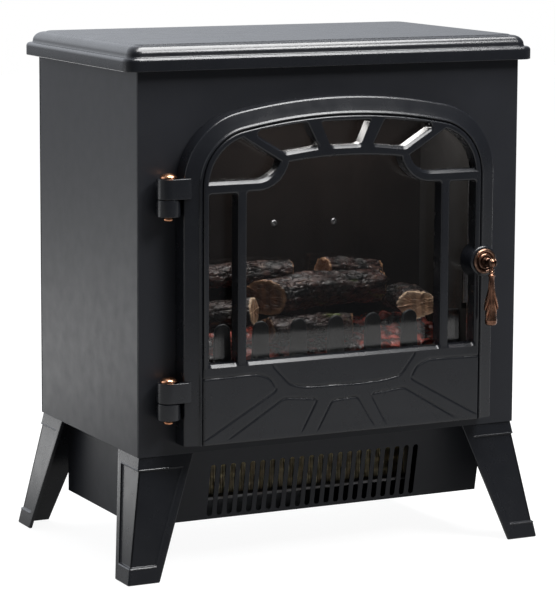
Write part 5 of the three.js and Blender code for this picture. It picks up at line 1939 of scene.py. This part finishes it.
# ------------------------------------------------------------------------------------------------
# Controls on the back
# ------------------------------------------------------------------------------------------------
@dataclass
class Controls:
    """Control plate with three rockers and a thermostat knob, and the cord's gland.

    Attributes:
        middle: X and Z of the plate's middle.
        face: Y of the plate's outer face.
        knob: Height of the knob's axis.
    """

    middle: Pair = (-135.0, 420.0)
    face: float = 133.8
    knob: float = 382.0

    def thermostat(self) -> None:
        """Skirt and a grip with 28 ribs, with a raised pointer."""
        x, out = self.middle[0], self.face
        profile = [
            (0, -17), (3, -17), (3, 0.3), (14.6, 0.3), (15, 0.8), (14.8, 3.6), (14.2, 4.5), (12.0, 5.0),
            (11.6, 5.6), (11.2, 11.0), (10.7, 11.8), (9.6, 12.1), (9.0, 11.7), (0, 11.6),
        ]
        grip = turned([(r, out + h) for r, h in profile], (0, 0, 0), Axis.Y, 168)

        def rib(p: Array) -> Array:
            """Waves the grip's wall in and out.

            Args:
                p: Points of the grip.

            Returns:
                The points moved.
            """
            angle = np.arctan2(p[:, 2], p[:, 0])
            on = smooth(p[:, 1], out + 5.0, out + 5.8) * smooth(np.hypot(p[:, 0], p[:, 2]), 9.2, 10.6)
            wave = 1 + 0.045 * np.cos(28 * angle) * on
            return p * np.stack([wave, np.ones_like(wave), wave], -1)

        pointer = upright([oblong(-1.0, 3.5, 1.0, 10.6, 0.5)], out + 11.2, out + 12.6, 0.3)
        shells = [part.moved((x, 0, self.knob)) for part in (grip.bent(rib), pointer)]
        node = "thermostat_knob"
        build(f"{node}_turned", shells, SWITCH_BLACK, node, [node])

    def marks(self) -> None:
        """Ticks round the knob, longer towards its hot end, and bars and rings on the rockers."""
        x, out = self.middle[0], self.face
        half, inner, edge = 0.35, 17.2, 0.05
        ticks = []
        for i in range(11):
            turn, high = math.radians(225 - 27 * i), 1.6 + 0.22 * i
            bar = upright([oblong(-half, inner, half, inner + high, 0.15)], out - 0.1, out + 0.15, edge, 1)
            sine, cosine = math.sin(turn), math.cos(turn)
            bar.points = bar.points @ np.array([[sine, 0, cosine], [0, 1, 0], [-cosine, 0, sine]])
            ticks.append(bar.moved((x, 0, self.knob)))
        build("dial_marks", ticks, MARK_WHITE, "cabinet")
        low, high = 4.35, 4.62
        bar = upright([oblong(-half, 4.4, half, 7.8, 0.15)], low, high, edge, 1)
        ring = upright([arc((0, -6), r, 0, 345, 24) for r in (1.7, 1.1)], low, high, edge, 1)
        sine, cosine = math.sin(math.radians(7)), math.cos(math.radians(7))
        tilt = np.array([[1, 0, 0], [0, cosine, sine], [0, -sine, cosine]])
        rockers = (
            ("flame_switch", -149, 468), ("low_heat_switch", -121, 468), ("high_heat_switch", -135, 438),
        )
        for name, px, pz in rockers:
            shells = [part.bent(lambda p: p @ tilt).moved((px, out - 3, pz)) for part in (bar, ring)]
            build(f"{name}_marks", shells, MARK_WHITE, name)
            dress(name, SWITCH_BLACK, 0.6, 3)

    def make(self) -> None:
        """Builds the knob and the marks, dresses the plate and the gland."""
        dress("control_plate", MOULD_BLACK, 0.8, 3)
        self.thermostat()
        self.marks()
        dress("cord_gland", RUBBER, 0.5, 3)


# ------------------------------------------------------------------------------------------------
# Order of work
# ------------------------------------------------------------------------------------------------
def main() -> None:
    """Builds the studio and every sub-assembly in order."""
    logging.basicConfig(level=logging.INFO, format="%(name)s: %(message)s")
    Studio().make()
    legs = [
        Leg(f"{end}_{side}", (sx, sy))
        for end, sy in (("front", -1), ("rear", 1))
        for side, sx in (("left", -1), ("right", 1))
    ]
    hinges = [Hinge("lower", 182.3), Hinge("upper", 387.6)]
    parts = [Lid(), Casing(), Door(), *legs, Housing(), *hinges, Handle(), Fire(), Controls()]
    for part in parts:
        part.make()
        log.info("%s is done", type(part).__name__)
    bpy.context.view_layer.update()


if __name__ == "__main__":
    main()
